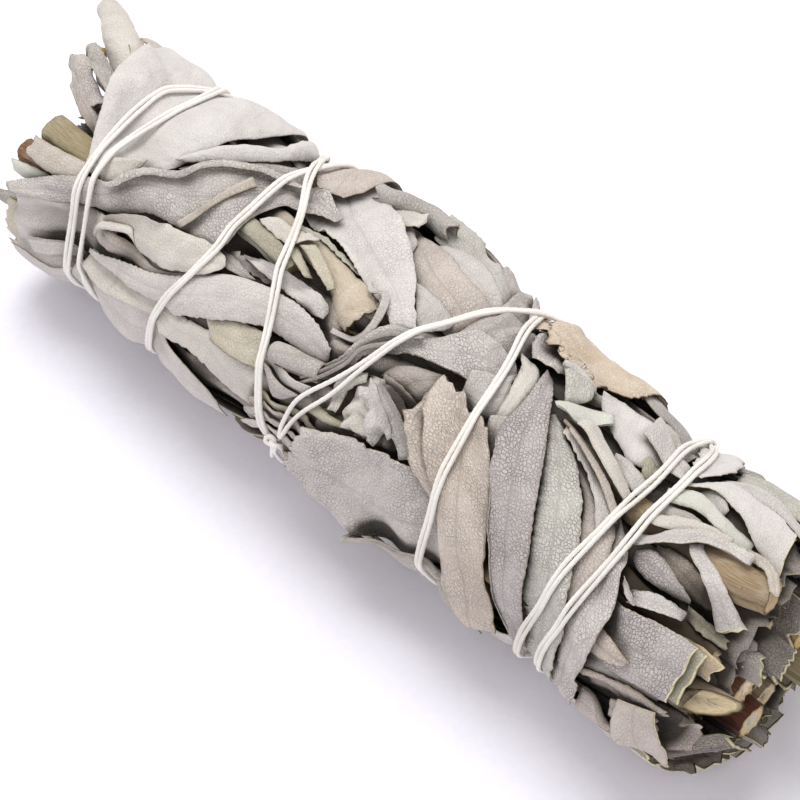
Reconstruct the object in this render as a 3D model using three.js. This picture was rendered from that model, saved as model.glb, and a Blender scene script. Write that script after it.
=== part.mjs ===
// A hand-tied bunch of dried white sage lying on its side, in millimetres.
// +X runs along the bunch to the cut stems, +Z is up, the surface it lies on is Z = 0.
// Pieces are laid one on another from the middle outwards. A place on the bunch is given as
// [along, around]: millimetres from the middle crossing of the string, towards the cut
// stems, and degrees around from the top towards the -Y side.
import * as THREE from 'three';

const MIDDLE_SHIFT = 2.5;         // from the middle crossing of the string to the bunch's middle
const AXIS_HEIGHT = 15.6;         // the bunch's long axis above the surface
const FLATTENING = 0.97;          // height over width of the bunch
const PLAN_RADIUS = 15.0;         // radius at which leaf widths are measured around the bunch
const CORE_RADIUS = 8.3;          // the round space that the main stems fill
const SURFACE = [[-66, 13.0], [-50, 15.0], [-20, 15.8], [0, 16.2], [20, 16.4], [62, 16.2]];
const LEAF_DEPTH = 2.8;           // from the bunch's surface in to the first outer leaf
const REST_DEPTH = 3.4;           // the same underneath, where the bunch is pressed flat
const GAP = 0.32;                 // clear space kept between pieces

const LEAF_THICKNESS = 0.45;
const FOLDED_THICKNESS = 2.4;     // an inner leaf folded over on itself
const LEAF_STEPS = 8;             // quads along a leaf
const LEAF_STRIPS = 3;            // quads across a leaf
const STEM_SIDES = 8;

const STRAND_WIDTH = 1.25;        // two strands of cotton side by side
const STRAND_HEIGHT = 0.65;
const STRING_STEP = 2.6;          // spacing of the string's sections
const STRING_LAG = 7;             // sections behind the end that later turns must climb over

const FIELD = { start: -72, end: 72, step: 0.5, turn: 2 };   // the laying grid, mm and degrees

const COLOURS = {
  leaf: 0xdcd6d0, dullLeaf: 0xbcb5af, greenLeaf: 0xc7c2b4, tanLeaf: 0xc1ab96,
  stem: 0xb09a7c, bark: 0x6a4a32, string: 0xe8e3da,
};

// Main stems: [name, angle and distance from the axis, diameter at the cut, tip end, cut end].
const MAIN_STEMS = [
  ['main_stem_woody', 124, 5.9, 4.4, -38, 57.0, 'bark'],
  ['main_stem_front', 64, 5.6, 4.2, -44, 56.0, 'stem'],
  ['main_stem_upper', 4, 5.6, 4.0, -40, 55.5, 'stem'],
  ['main_stem_rear', -62, 5.6, 4.2, -46, 58.0, 'stem'],
  ['main_stem_low_rear', -122, 5.7, 4.4, -36, 61.5, 'stem'],
  ['main_stem_low', 180, 5.7, 4.0, -42, 54.5, 'stem'],
];

// Side stems laid over the core: [name, diameter, colour, route].
const SIDE_STEMS = [
  ['side_stem_knotty', 3.5, 'stem', [[12, 0], [34, 6], [54.5, 5]]],
  ['side_stem_split', 3.6, 'stem', [[14, 84], [36, 75], [55, 68]]],
  ['side_stem_tan', 3.3, 'stem', [[20, 36], [38, 40], [55, 44]]],
  ['side_stem_broken', 3.9, 'stem', [[-40, -14], [-21, -5], [-8, 6], [-3.5, 12]]],
  ['side_stem_rear', 3.4, 'stem', [[16, 262], [38, 258], [57, 256]]],
  ['tip_twig', 2.8, 'stem', [[-58, 42], [-50, 36], [-36, 26]]],
];

// Inner leaves folded on themselves: [name, width, route].
const FOLDED_LEAVES = [
  ['inner_leaf_tip_top', 10, [[-64, -22], [-35, -12], [-4, -4]]],
  ['inner_leaf_tip_front', 10, [[-61, 66], [-34, 62], [-2, 58]]],
  ['inner_leaf_tip_low', 10, [[-58, 140], [-32, 134], [0, 130]]],
  ['inner_leaf_tip_rear', 10, [[-62, 268], [-35, 272], [-4, 276]]],
  ['inner_leaf_cut_top', 10, [[2, -40], [26, -38], [53, -34]]],
  ['inner_leaf_cut_front', 9, [[2, 108], [26, 106], [52, 104]]],
  ['inner_leaf_cut_rear', 10, [[0, 222], [26, 218], [53, 214]]],
];

// Leaves from the inside out: [name, width, colour, route].
const LEAVES = [
  ['back_leaf_tip_low', 11, 'leaf', [[-60, 222], [-36, 216], [-8, 206]]],
  ['back_leaf_cut_high', 11, 'dullLeaf', [[10, 300], [33, 296], [54, 300]]],
  ['back_leaf_middle', 12, 'greenLeaf', [[-30, 262], [0, 258], [26, 250]]],
  ['back_leaf_tip_high', 12, 'leaf', [[-62, 306], [-36, 300], [-6, 292]]],
  ['back_leaf_cut_low', 11, 'leaf', [[4, 232], [30, 226], [54, 228]]],
  ['low_leaf_front', 11, 'dullLeaf', [[-24, 140], [2, 146], [28, 142]]],
  ['low_leaf_cut', 10, 'greenLeaf', [[24, 128], [42, 124], [57, 116]]],
  ['low_leaf_tip', 10, 'leaf', [[-60, 128], [-42, 130], [-20, 126]]],
  ['tip_leaf_lavender', 10, 'dullLeaf', [[-59, 86], [-47, 88], [-32, 98]]],
  ['tip_leaf_finger', 9, 'greenLeaf', [[-66.5, -56], [-54, -44], [-38, -32]]],
  ['ridge_leaf_back', 10, 'dullLeaf', [[-34, -56], [-18, -48], [0, -62]]],
  ['cut_leaf_ruffled', 9, 'greenLeaf', [[36, 20], [45, 24], [53, 30]]],
  ['cut_leaf_pinkish', 10, 'dullLeaf', [[32, 92], [43, 88], [53, 84]]],
  ['cut_leaf_square', 9, 'leaf', [[34, 56], [44, 56], [53, 55]]],
  ['band_leaf', 7, 'greenLeaf', [[-44, 78], [-30, 76], [-12, 74]]],
  ['long_veined_leaf', 9, 'leaf', [[-56, 68], [-47, 50], [-38, 25], [-28, 2], [-19, -20]]],
  ['broad_crossing_leaf', 10, 'leaf', [[-19, -46], [-12, -22], [-7, -8], [-1, 9]]],
  ['smooth_tip_leaf', 15, 'leaf', [[-51, -72], [-48, -40], [-47, -5], [-46, 34]]],
  ['blunt_leaf', 9, 'leaf', [[-31, 67], [-24, 55], [-16, 43], [-5, 38]]],
  ['looped_leaf', 6, 'leaf', [[-41, 60], [-31, 47], [-24, 36]]],
  ['slit_leaf', 9, 'leaf', [[-9, -58], [-4, -34], [2, -14]]],
  ['petiole_leaf', 6, 'greenLeaf', [[-5, 46], [-2.5, 28], [2, 8], [12, -12]]],
  ['crinkled_leaf', 9, 'dullLeaf', [[0, 44], [6, 45], [12, 46]]],
  ['wide_low_leaf', 11, 'leaf', [[-3, 68], [5, 84], [12, 116]]],
  ['veined_fan_leaf', 8, 'dullLeaf', [[16, -16], [20, 10], [24, 35], [27, 60], [30, 92]]],
  ['green_fan_leaf', 8, 'greenLeaf', [[21, 0], [27, 25], [31, 50], [34, 84]]],
  ['ragged_tan_leaf', 9, 'tanLeaf', [[11, 20], [15, 40], [19, 60], [23, 80], [25, 102]]],
  ['scalloped_leaf', 5, 'leaf', [[22, 0], [28, 12], [32, 25], [36, 44]]],
  ['torn_brown_leaf', 8, 'tanLeaf', [[8, -62], [13, -42], [17, -26]]],
  ['folded_top_leaf', 7, 'greenLeaf', [[15, -24], [20, -16], [25, -6]]],
  ['whitish_top_leaf', 9, 'leaf', [[22, -34], [28, -22], [34, -14]]],
  ['edge_top_leaf', 8, 'leaf', [[30, -58], [36, -40], [41, -24]]],
  ['long_cross_leaf', 7, 'leaf', [[37, 10], [40, 30], [42, 55], [41, 98]]],
  ['cut_leaf_whitish', 9, 'leaf', [[37, -26], [45, -22], [53, -12]]],
  ['cut_leaf_curved', 6, 'greenLeaf', [[38, 16], [44, 8], [51, 3]]],
];

// Leaves underneath, pressed flat where they rest: [name, width, flat from, flat to, route].
const RESTING_LEAVES = [
  ['resting_leaf_tip', 10, -32, -20, [[-42, 180], [-27, 180], [-11, 180]]],
  ['resting_leaf_middle', 10, 1, 15, [[-7, 180], [9, 180], [27, 180]]],
  ['resting_leaf_cut', 10, 38.5, 53, [[31, 180], [43, 180], [55, 180]]],
];
const REST_HALF_ANGLE = 20;

// The string's one closed route, tied at the front where it starts and ends.
const STRING_ROUTE = [
  [-8.2, 101], [-16.3, 180], [-23, 250], [-28.6, 312], [-25.9, 375], [-26.1, 400], [-31, 456],
  [-35.8, 540], [-40.2, 605], [-50.6, 672], [-48.6, 720], [-46.9, 790], [-47.6, 900], [-49.6, 985],
  [-48.9, 1030], [-45.7, 1100], [-44, 1175], [-42.5, 1262], [-37, 1330], [-28.4, 1395],
  [-20, 1440], [-14, 1485], [-10.2, 1530], [-3.7, 1620], [2.4, 1690], [7.4, 1752], [13, 1800],
  [16.4, 1860], [16.6, 1905], [19, 1980], [24, 2045], [35.4, 2115], [38, 2170], [37.3, 2220],
  [34.4, 2265], [32.4, 2340], [31.6, 2420], [33, 2475], [35.1, 2520], [34, 2580], [31.4, 2625],
  [28.5, 2700], [20, 2765], [5.4, 2835], [3, 2880], [-1.2, 2922], [-5.2, 2948], [-7.2, 2972],
];

const radians = (degrees) => degrees * Math.PI / 180;

function place(along, around, radius) {
  const angle = radians(around);
  const height = AXIS_HEIGHT + FLATTENING * radius * Math.cos(angle);
  return new THREE.Vector3(along + MIDDLE_SHIFT, -radius * Math.sin(angle), height);
}

// How far out the laid pieces reach, on a grid unrolled along and around the bunch.
class LaidField {
  constructor(radius) {
    this.rows = Math.round((FIELD.end - FIELD.start) / FIELD.step) + 1;
    this.columns = 360 / FIELD.turn;
    this.reach = new Float64Array(this.rows * this.columns).fill(radius);
  }

  cell(along, around) {
    const row = Math.round((along - FIELD.start) / FIELD.step);
    const column = Math.round(around / FIELD.turn);
    const wrapped = ((column % this.columns) + this.columns) % this.columns;
    return THREE.MathUtils.clamp(row, 0, this.rows - 1) * this.columns + wrapped;
  }

  at(along, around) {
    return this.reach[this.cell(along, around)];
  }

  raise(along, around, radius) {
    for (const step of [-FIELD.step, 0, FIELD.step]) {
      for (const turn of [-FIELD.turn, 0, FIELD.turn]) {
        const cell = this.cell(along + step, around + turn);
        this.reach[cell] = Math.max(this.reach[cell], radius);
      }
    }
  }
}

const field = new LaidField(CORE_RADIUS);

function route(points) {
  const flat = points.map(([along, around]) => new THREE.Vector3(along, around, 0));
  return new THREE.CatmullRomCurve3(flat, false, 'centripetal');
}

// A grid of [along, around] places down a route, wide in the middle and narrow at the ends.
function outline(points, width, steps, strips) {
  const curve = route(points);
  const rows = [];
  for (let i = 0; i <= steps; i += 1) {
    const share = i / steps;
    const centre = curve.getPoint(share);
    const heading = curve.getTangent(share);
    const arc = radians(heading.y) * PLAN_RADIUS;
    const length = Math.hypot(heading.x, arc);
    const half = 0.5 * width * (0.34 + 0.66 * Math.sin(Math.PI * Math.min(share * 0.94 + 0.03, 1)));
    const row = [];
    for (let j = 0; j <= strips; j += 1) {
      const side = half * (2 * j / strips - 1);
      const turn = (side * heading.x / length) / radians(1) / PLAN_RADIUS;
      row.push([centre.x - side * arc / length, centre.y + turn]);
    }
    rows.push(row);
  }
  return rows;
}

// Calls use(along, around, blend) over a quad's places, with blend(heights) following its triangles.
function eachPlace(grid, i, j, use) {
  const corners = [grid[i][j], grid[i + 1][j], grid[i][j + 1], grid[i + 1][j + 1]];
  const span = Math.max(corners[0][0], corners[1][0]) - Math.min(corners[2][0], corners[3][0]);
  const count = Math.max(6, Math.ceil(Math.abs(span) / 0.4), 10);
  const mix = (u, v, [a, b, c, d]) => (
    u > v ? a + (b - a) * u + (d - b) * v : a + (d - c) * u + (c - a) * v);
  for (let m = 0; m <= count; m += 1) {
    for (let n = 0; n <= count; n += 1) {
      const u = m / count;
      const v = n / count;
      const along = mix(u, v, corners.map((corner) => corner[0]));
      const around = mix(u, v, corners.map((corner) => corner[1]));
      use(along, around, (heights) => mix(u, v, heights));
    }
  }
}

// The least radius at which an outer leaf lies: the loose middle of the bunch is below it.
function bedRadius(along, around) {
  const next = Math.max(1, SURFACE.findIndex(([at]) => at >= along));
  const [[x0, r0], [x1, r1]] = [SURFACE[next - 1], SURFACE[next]];
  const share = THREE.MathUtils.clamp((along - x0) / (x1 - x0), 0, 1);
  const side = r0 + (r1 - r0) * share - LEAF_DEPTH;
  const down = -Math.cos(radians(around));
  return down > 0.5 ? Math.min(side, (AXIS_HEIGHT - REST_DEPTH) / FLATTENING / down) : side;
}

// Radii that carry a grid clear of everything already laid beneath it.
function settle(grid, least = () => 0) {
  const radii = grid.map((row) => row.map(([along, around]) => least(along, around)));
  for (let i = 0; i + 1 < grid.length; i += 1) {
    for (let j = 0; j + 1 < grid[0].length; j += 1) {
      let highest = 0;
      eachPlace(grid, i, j, (along, around) => {
        highest = Math.max(highest, field.at(along, around));
      });
      for (const [row, column] of [[i, j], [i + 1, j], [i, j + 1], [i + 1, j + 1]]) {
        radii[row][column] = Math.max(radii[row][column], highest + GAP);
      }
    }
  }
  return radii;
}

function record(grid, radii) {
  for (let i = 0; i + 1 < grid.length; i += 1) {
    for (let j = 0; j + 1 < grid[0].length; j += 1) {
      const heights = [radii[i][j], radii[i + 1][j], radii[i][j + 1], radii[i + 1][j + 1]];
      eachPlace(grid, i, j, (along, around, blend) => field.raise(along, around, blend(heights)));
    }
  }
}

function closedGeometry(points, triangles) {
  const geometry = new THREE.BufferGeometry();
  const values = points.flatMap((point) => [point.x, point.y, point.z]);
  geometry.setAttribute('position', new THREE.Float32BufferAttribute(values, 3));
  geometry.setIndex(triangles);
  geometry.computeVertexNormals();
  return geometry;
}

// A closed slab between an inner and an outer set of radii on the same grid.
function slabGeometry(grid, inner, outer) {
  const columns = grid[0].length;
  const sheet = grid.length * columns;
  const points = [inner, outer].flatMap((radii) => (
    grid.flatMap((row, i) => row.map(([along, around], j) => place(along, around, radii[i][j])))));
  const triangles = [];
  const at = (i, j) => i * columns + j;
  for (let i = 0; i + 1 < grid.length; i += 1) {
    for (let j = 0; j + 1 < columns; j += 1) {
      const [a, b, c, d] = [at(i, j), at(i + 1, j), at(i, j + 1), at(i + 1, j + 1)];
      triangles.push(a, b, d, a, d, c);
      triangles.push(a + sheet, d + sheet, b + sheet, a + sheet, c + sheet, d + sheet);
    }
  }
  const rim = [];
  for (let i = 0; i + 1 < grid.length; i += 1) rim.push(at(i, 0));
  for (let j = 0; j + 1 < columns; j += 1) rim.push(at(grid.length - 1, j));
  for (let i = grid.length - 1; i > 0; i -= 1) rim.push(at(i, columns - 1));
  for (let j = columns - 1; j > 0; j -= 1) rim.push(at(0, j));
  rim.forEach((from, k) => {
    const to = rim[(k + 1) % rim.length];
    triangles.push(to, from, from + sheet, to, from + sheet, to + sheet);
  });
  return closedGeometry(points, triangles);
}

// A closed solid through a list of rings that all have the same number of points.
function ringGeometry(rings) {
  const sides = rings[0].length;
  const points = rings.flat();
  const triangles = [];
  for (let i = 0; i + 1 < rings.length; i += 1) {
    for (let j = 0; j < sides; j += 1) {
      const next = (j + 1) % sides;
      const [a, b] = [i * sides + j, i * sides + next];
      triangles.push(a, a + sides, b + sides, a, b + sides, b);
    }
  }
  const last = (rings.length - 1) * sides;
  for (let j = 1; j + 1 < sides; j += 1) {
    triangles.push(0, j, j + 1);
    triangles.push(last, last + j + 1, last + j);
  }
  return closedGeometry(points, triangles);
}

function piece(name, geometry, colour, roughness = 0.9) {
  const material = new THREE.MeshStandardMaterial({ color: COLOURS[colour], roughness, metalness: 0 });
  const mesh = new THREE.Mesh(geometry, material);
  mesh.name = name;
  return mesh;
}

function mainStem([name, angle, distance, diameter, from, to, colour]) {
  const rings = [];
  const steps = 5;
  for (let i = 0; i <= steps; i += 1) {
    const share = i / steps;
    const radius = 0.5 * diameter * (0.62 + 0.38 * share);
    const centre = place(from + (to - from) * share, angle, distance);
    const ring = [];
    for (let k = 0; k < STEM_SIDES; k += 1) {
      const turn = 2 * Math.PI * k / STEM_SIDES;
      const offset = new THREE.Vector3(0, radius * Math.cos(turn), -radius * Math.sin(turn));
      ring.push(centre.clone().add(offset));
    }
    rings.push(ring);
  }
  return piece(name, ringGeometry(rings), colour);
}

// A round stem laid on what is beneath it.
function sideStem([name, diameter, colour, points]) {
  const steps = 7;
  const grid = outline(points, diameter, steps, 2).map((row) => {
    const [centreAlong, centreAround] = row[1];
    const half = 0.5 * diameter / PLAN_RADIUS / radians(1);
    return [[centreAlong, centreAround - half], row[1], [centreAlong, centreAround + half]];
  });
  const bed = settle(grid);
  record(grid, bed.map((row) => row.map((radius) => radius + diameter)));
  const rings = grid.map((row, i) => {
    const centre = bed[i][1] + 0.5 * diameter;
    const [along, around] = row[1];
    const ring = [];
    for (let k = 0; k < STEM_SIDES; k += 1) {
      const turn = -2 * Math.PI * k / STEM_SIDES;
      const radius = centre + 0.5 * diameter * Math.cos(turn);
      const side = 0.5 * diameter * Math.sin(turn) / centre / radians(1);
      ring.push(place(along, around + side, radius));
    }
    return ring;
  });
  return piece(name, ringGeometry(rings), colour);
}

function leaf(name, width, colour, points, thickness, least, flat = null) {
  const grid = outline(points, width, LEAF_STEPS, LEAF_STRIPS);
  const inner = settle(grid, least);
  const outer = inner.map((row, i) => row.map((radius, j) => {
    const [along, around] = grid[i][j];
    const resting = flat && along >= flat[0] && along <= flat[1]
      && Math.abs(around - 180) <= REST_HALF_ANGLE;
    return resting ? AXIS_HEIGHT / FLATTENING / -Math.cos(radians(around)) : radius + thickness;
  }));
  record(grid, outer);
  return piece(name, slabGeometry(grid, inner, outer), colour);
}

// The doubled string, wound tight over everything and climbing over its own earlier turns.
function tieString() {
  const curve = route(STRING_ROUTE);
  const length = STRING_ROUTE.slice(1).reduce((total, [along, around], i) => {
    const [lastAlong, lastAround] = STRING_ROUTE[i];
    return total + Math.hypot(along - lastAlong, radians(around - lastAround) * PLAN_RADIUS);
  }, 0);
  const count = Math.round(length / STRING_STEP);
  const centres = [];
  for (let i = 0; i <= count; i += 1) centres.push(curve.getPointAt(i / count));
  const sweep = (from, to, use) => {
    for (let n = 0; n <= 8; n += 1) {
      const middle = centres[from].clone().lerp(centres[to], n / 8);
      for (let side = -2; side <= 2; side += 1) use(middle.x + side * STRAND_WIDTH / 4, middle.y);
    }
  };
  const radii = new Array(centres.length).fill(0);
  for (let i = 0; i < count; i += 1) {
    if (i > STRING_LAG) {
      const from = i - STRING_LAG - 1;
      const top = Math.max(radii[from], radii[from + 1]) + STRAND_HEIGHT;
      sweep(from, from + 1, (along, around) => field.raise(along, around, top));
    }
    let highest = 0;
    sweep(i, i + 1, (along, around) => { highest = Math.max(highest, field.at(along, around)); });
    radii[i] = Math.max(radii[i], highest + GAP);
    radii[i + 1] = highest + GAP;
  }
  const rings = centres.map((centre, i) => {
    const ring = [];
    for (let k = 0; k < 6; k += 1) {
      const turn = Math.PI / 3 * k;
      const radius = radii[i] + 0.5 * STRAND_HEIGHT * (1 + Math.sin(turn));
      ring.push(place(centre.x - 0.5 * STRAND_WIDTH * Math.cos(turn), centre.y, radius));
    }
    return ring;
  });
  return piece('tie_string', ringGeometry(rings), 'string', 0.85);
}

function sageBunch() {
  const bunch = new THREE.Group();
  MAIN_STEMS.forEach((stem) => bunch.add(mainStem(stem)));
  FOLDED_LEAVES.forEach(([name, width, points]) => {
    bunch.add(leaf(name, width, 'dullLeaf', points, FOLDED_THICKNESS));
  });
  SIDE_STEMS.forEach((stem) => bunch.add(sideStem(stem)));
  LEAVES.forEach(([name, width, colour, points]) => {
    bunch.add(leaf(name, width, colour, points, LEAF_THICKNESS, bedRadius));
  });
  RESTING_LEAVES.forEach(([name, width, from, to, points]) => {
    bunch.add(leaf(name, width, 'leaf', points, LEAF_THICKNESS, bedRadius, [from, to]));
  });
  bunch.add(tieString());
  return bunch;
}

export default sageBunch();
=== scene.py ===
"""A hand-tied bunch of dried white sage, lying on a pale table.

Leaves are laid one on another from the middle of the bunch outwards. A place on the bunch is
(along, around): millimetres from the middle crossing of the string, towards the cut stems,
and degrees around from the top towards the -Y side, as in the CAD part.
"""
from collections import namedtuple
import math
import bpy
import numpy as np
from mathutils import Matrix, Vector


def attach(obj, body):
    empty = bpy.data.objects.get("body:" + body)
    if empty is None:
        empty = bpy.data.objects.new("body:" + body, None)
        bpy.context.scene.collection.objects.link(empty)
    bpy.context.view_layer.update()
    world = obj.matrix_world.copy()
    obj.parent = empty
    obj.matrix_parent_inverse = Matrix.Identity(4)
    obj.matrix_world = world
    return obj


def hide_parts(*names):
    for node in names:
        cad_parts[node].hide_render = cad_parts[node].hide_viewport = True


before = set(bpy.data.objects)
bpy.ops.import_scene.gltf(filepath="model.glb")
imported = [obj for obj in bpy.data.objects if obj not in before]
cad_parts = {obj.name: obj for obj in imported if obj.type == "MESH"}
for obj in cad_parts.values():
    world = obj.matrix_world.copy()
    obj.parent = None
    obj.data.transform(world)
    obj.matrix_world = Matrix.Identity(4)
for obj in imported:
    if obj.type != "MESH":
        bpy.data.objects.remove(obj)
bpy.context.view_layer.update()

MM = 0.001
MIDDLE_SHIFT = 2.5        # mm, from the middle crossing of the string to the part's middle
AXIS_HEIGHT = 15.6        # mm, the bunch's long axis above the table
FLATTENING = 0.97         # height over width
PLAN_RADIUS = 15.0        # mm, where distances around the bunch are measured
DEGREE = math.pi / 180
ARC = PLAN_RADIUS * DEGREE          # mm around the bunch to a degree
CORE_RADIUS = 8.3         # mm, the space of the main stems
STEADY_RADIUS = 7.5       # mm, nothing inside this is pressed by the string
LOOSE_DEPTH = 3.4         # mm, the outer leaves keep their own shape to this depth
LEAF_THICKNESS = 0.34     # mm
EDGE_LIFT_REACH = 1.3     # mm, how far in from a leaf's edge its lifting fades
MIDRIB_REACH = 0.42       # mm, half the width of the groove along a leaf's middle
LEAF_GAP = 0.1            # mm, between a leaf and what it lies on
RIM_SHARE = 0.45          # a leaf's thickness at its rim, as a share of the whole
RIM_REACH = 0.7           # mm, how far in it has its whole thickness
MARGIN_LIMIT = 4.0        # mm, distances to the rim are kept up to this
STRAND = 0.55             # mm, thickness of one cotton strand

# Surface radius of the finished bunch, by place along it.
PROFILE_AT = (-70, -66, -58, -50, -35, -20, 0, 20, 45, 56, 64)
PROFILE = (10.5, 12.2, 14.2, 15.1, 15.4, 15.8, 16.2, 16.4, 16.5, 16.3, 15.6)

# How far the bunch stands out beyond that towards its upper far side, by place along it.
BULGE_AT = (-66, -54, -48, -40, -32, -22, -13, -5, 1, 5, 9, 15, 21, 27, 48, 56)
BULGE = (0.2, 0.5, 1.8, 2.2, 1.6, 2.7, 3.9, 3.4, 2.3, 1.3, 1.1, 1.7, 1.3, 0.4, 0.5, 0.2)
BULGE_AROUND = -62        # degrees
BULGE_REACH = 30          # degrees
SPREAD_AT = (-68, -61, -54, -46)     # the leaves' tips spread out on the near lower side
SPREAD = (3.2, 2.6, 1.6, 0.5)
SPREAD_AROUND = 108       # degrees
SPREAD_REACH = 42         # degrees

random = np.random.default_rng(7)


# ---------------------------------------------------------------- places and the laid field

def turn_between(around, other):
    """Degrees from one place around the bunch to another, the short way."""
    return (around - other + 180) % 360 - 180


def bulge(along, around):
    """How far the surface stands out beyond the round profile, in mm."""
    around = np.asarray(around, float)
    far = turn_between(around, BULGE_AROUND)
    near = turn_between(around, SPREAD_AROUND)
    return (np.interp(along, BULGE_AT, BULGE) * np.exp(-(far / BULGE_REACH) ** 2)
            + np.interp(along, SPREAD_AT, SPREAD) * np.exp(-(near / SPREAD_REACH) ** 2))


def place(along, around, radius):
    """Points in metres in the part's frame, from places on the bunch."""
    angle = np.asarray(around, float) * DEGREE
    x = np.asarray(along, float) + MIDDLE_SHIFT
    y = -radius * np.sin(angle)
    z = AXIS_HEIGHT + FLATTENING * radius * np.cos(angle)
    return np.stack(np.broadcast_arrays(x, y, z), -1) * MM


class Field:
    """How far out the laid pieces reach, on a grid unrolled along and around the bunch."""
    START, END, STEP = -74.0, 74.0, 0.4       # mm
    TURN = 1.5                                # degrees

    def __init__(self, radius_at):
        self.rows = int(round((self.END - self.START) / self.STEP)) + 1
        self.columns = int(round(360 / self.TURN))
        along = self.START + self.STEP * np.arange(self.rows)
        self.reach = np.repeat(radius_at(along)[:, None], self.columns, 1)

    def cells(self, plan):
        row = (plan[..., 0] - self.START) / self.STEP
        column = plan[..., 1] / ARC / self.TURN
        row = np.clip(row, 0, self.rows - 1.001)
        low = np.floor(row).astype(int)
        left = np.floor(column).astype(int)
        return low, left, row - low, column - left

    def corners(self, plan):
        """The four cells round each place."""
        low, left, _, _ = self.cells(plan)
        return [(low + i, (left + j) % self.columns) for i in (0, 1) for j in (0, 1)]

    def highest(self, plan):
        return np.max([self.reach[cell] for cell in self.corners(plan)], axis=0)

    def plan(self):
        """The plan place of every cell."""
        along = self.START + self.STEP * np.arange(self.rows)
        around = self.TURN * ARC * np.arange(self.columns)
        return np.stack(np.meshgrid(along, around, indexing="ij"), -1)

    def raise_to(self, plan, radius):
        for cell in self.corners(plan):
            np.maximum.at(self.reach, cell, radius)


def core_radius(along):
    """The space that the main stems take up, in mm."""
    return np.interp(along, (-74, -66, -46, -38, 54, 60, 74),
                     (1.5, 2.5, 6.5, CORE_RADIUS, CORE_RADIUS, 6.0, 3.0))


field = Field(core_radius)


def blurred(values):
    """One pass of smoothing along both ways of a grid, its edges held by their own values."""
    padded = np.pad(values, 1, mode="edge")
    across = 0.25 * padded[:, :-2] + 0.5 * padded[:, 1:-1] + 0.25 * padded[:, 2:]
    return 0.25 * across[:-2] + 0.5 * across[1:-1] + 0.25 * across[2:]


def waves(u, v, size, count=5):
    """Smooth irregular waves, about -1 to 1, over a plane in mm."""
    total = np.zeros(np.broadcast(u, v).shape)
    for _ in range(count):
        turn, phase = random.uniform(0, 2 * math.pi, 2)
        length = size * random.uniform(0.7, 1.5)
        total += np.sin((u * math.cos(turn) + v * math.sin(turn)) * 2 * math.pi / length + phase)
    return total / math.sqrt(count)


def smoothstep(low, high, value):
    """0 below low, 1 above high, and smooth between them."""
    share = np.clip((value - low) / (high - low), 0, 1)
    return share * share * (3 - 2 * share)


# ---------------------------------------------------------------- curves in the unrolled plane

def plan_points(points):
    """Plan mm from places along and around the bunch."""
    return np.array([(along, around * ARC) for along, around in points], float)


def headings(path):
    """The direction of a line at each of its points."""
    heading = np.gradient(path, axis=0)
    return heading / np.linalg.norm(heading, axis=1)[:, None]


def distance_along(path):
    return np.concatenate([[0], np.cumsum(np.linalg.norm(np.diff(path, axis=0), axis=1))])


def spread(values, count):
    """A few values spread evenly over a number of steps."""
    return np.interp(np.linspace(0, 1, count), np.linspace(0, 1, len(values)), values)


def spline(points, count):
    """A smooth curve through the points, evenly spaced."""
    points = np.asarray(points, float)
    if len(points) == 2:
        return points[0] + (points[1] - points[0]) * np.linspace(0, 1, count)[:, None]
    before = 2 * points[0] - points[1]
    after = 2 * points[-1] - points[-2]
    line = np.vstack([before, points, after])
    dense = []
    for i in range(1, len(line) - 2):
        a, b, c, d = line[i - 1:i + 3]
        t = np.linspace(0, 1, 24, endpoint=False)[:, None]
        dense.append(0.5 * (2 * b + (c - a) * t + (2 * a - 5 * b + 4 * c - d) * t ** 2
                            + (3 * b - a - 3 * c + d) * t ** 3))
    dense = np.vstack(dense + [points[-1:]])
    distance = distance_along(dense)
    at = np.linspace(0, distance[-1], count)
    return np.stack([np.interp(at, distance, dense[:, k]) for k in range(dense.shape[1])], -1)


def curve_length(points, count=40):
    return float(np.linalg.norm(np.diff(spline(points, count), axis=0), axis=1).sum())


def lance_edges(spine, width, base=0.35, tip=0.05, cut=False):
    """The two edges of a lance-shaped leaf, in plan mm, from its spine."""
    steps = 12
    centre = spline(plan_points(spine), steps)
    heading = headings(centre)
    side = np.stack([-heading[:, 1], heading[:, 0]], -1)
    share = np.linspace(0, 1, steps)
    fullness = np.sin(math.pi * np.clip(0.12 + 0.86 * share, 0, 1)) ** 0.8
    half = 0.5 * width * np.maximum(fullness, np.where(share < 0.5, base, 0.9 if cut else tip))
    return centre - side * half[:, None], centre + side * half[:, None]


# ---------------------------------------------------------------- making mesh pieces

def add_value(obj, name, values):
    """Stores one number a vertex, for the materials to read."""
    attribute = obj.data.attributes.new(name, "FLOAT", "POINT")
    attribute.data.foreach_set("value", np.asarray(values, np.float32))


def new_object(name, points, faces, uv, margin=None, face_material=None, smooth=True):
    """A mesh object; uv and margin are given by vertex, and margin says how near a rim is."""
    mesh = bpy.data.meshes.new(name)
    points = np.asarray(points, np.float32)
    faces = np.asarray(faces, np.int32)
    mesh.vertices.add(len(points))
    mesh.vertices.foreach_set("co", points.ravel())
    mesh.loops.add(faces.size)
    mesh.loops.foreach_set("vertex_index", faces.ravel())
    mesh.polygons.add(len(faces))
    mesh.polygons.foreach_set("loop_start", np.arange(0, faces.size, faces.shape[1], dtype=np.int32))
    mesh.polygons.foreach_set("use_smooth", np.full(len(faces), smooth))
    if face_material is not None:
        mesh.polygons.foreach_set("material_index", np.asarray(face_material, np.int32))
    layer = mesh.uv_layers.new(name="plan")
    layer.data.foreach_set("uv", np.asarray(uv, np.float32)[faces.ravel()].ravel())
    mesh.update(calc_edges=True)
    mesh.validate()
    obj = bpy.data.objects.new(name, mesh)
    if margin is not None:
        add_value(obj, "margin", margin)
    bpy.context.scene.collection.objects.link(obj)
    return obj


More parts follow.
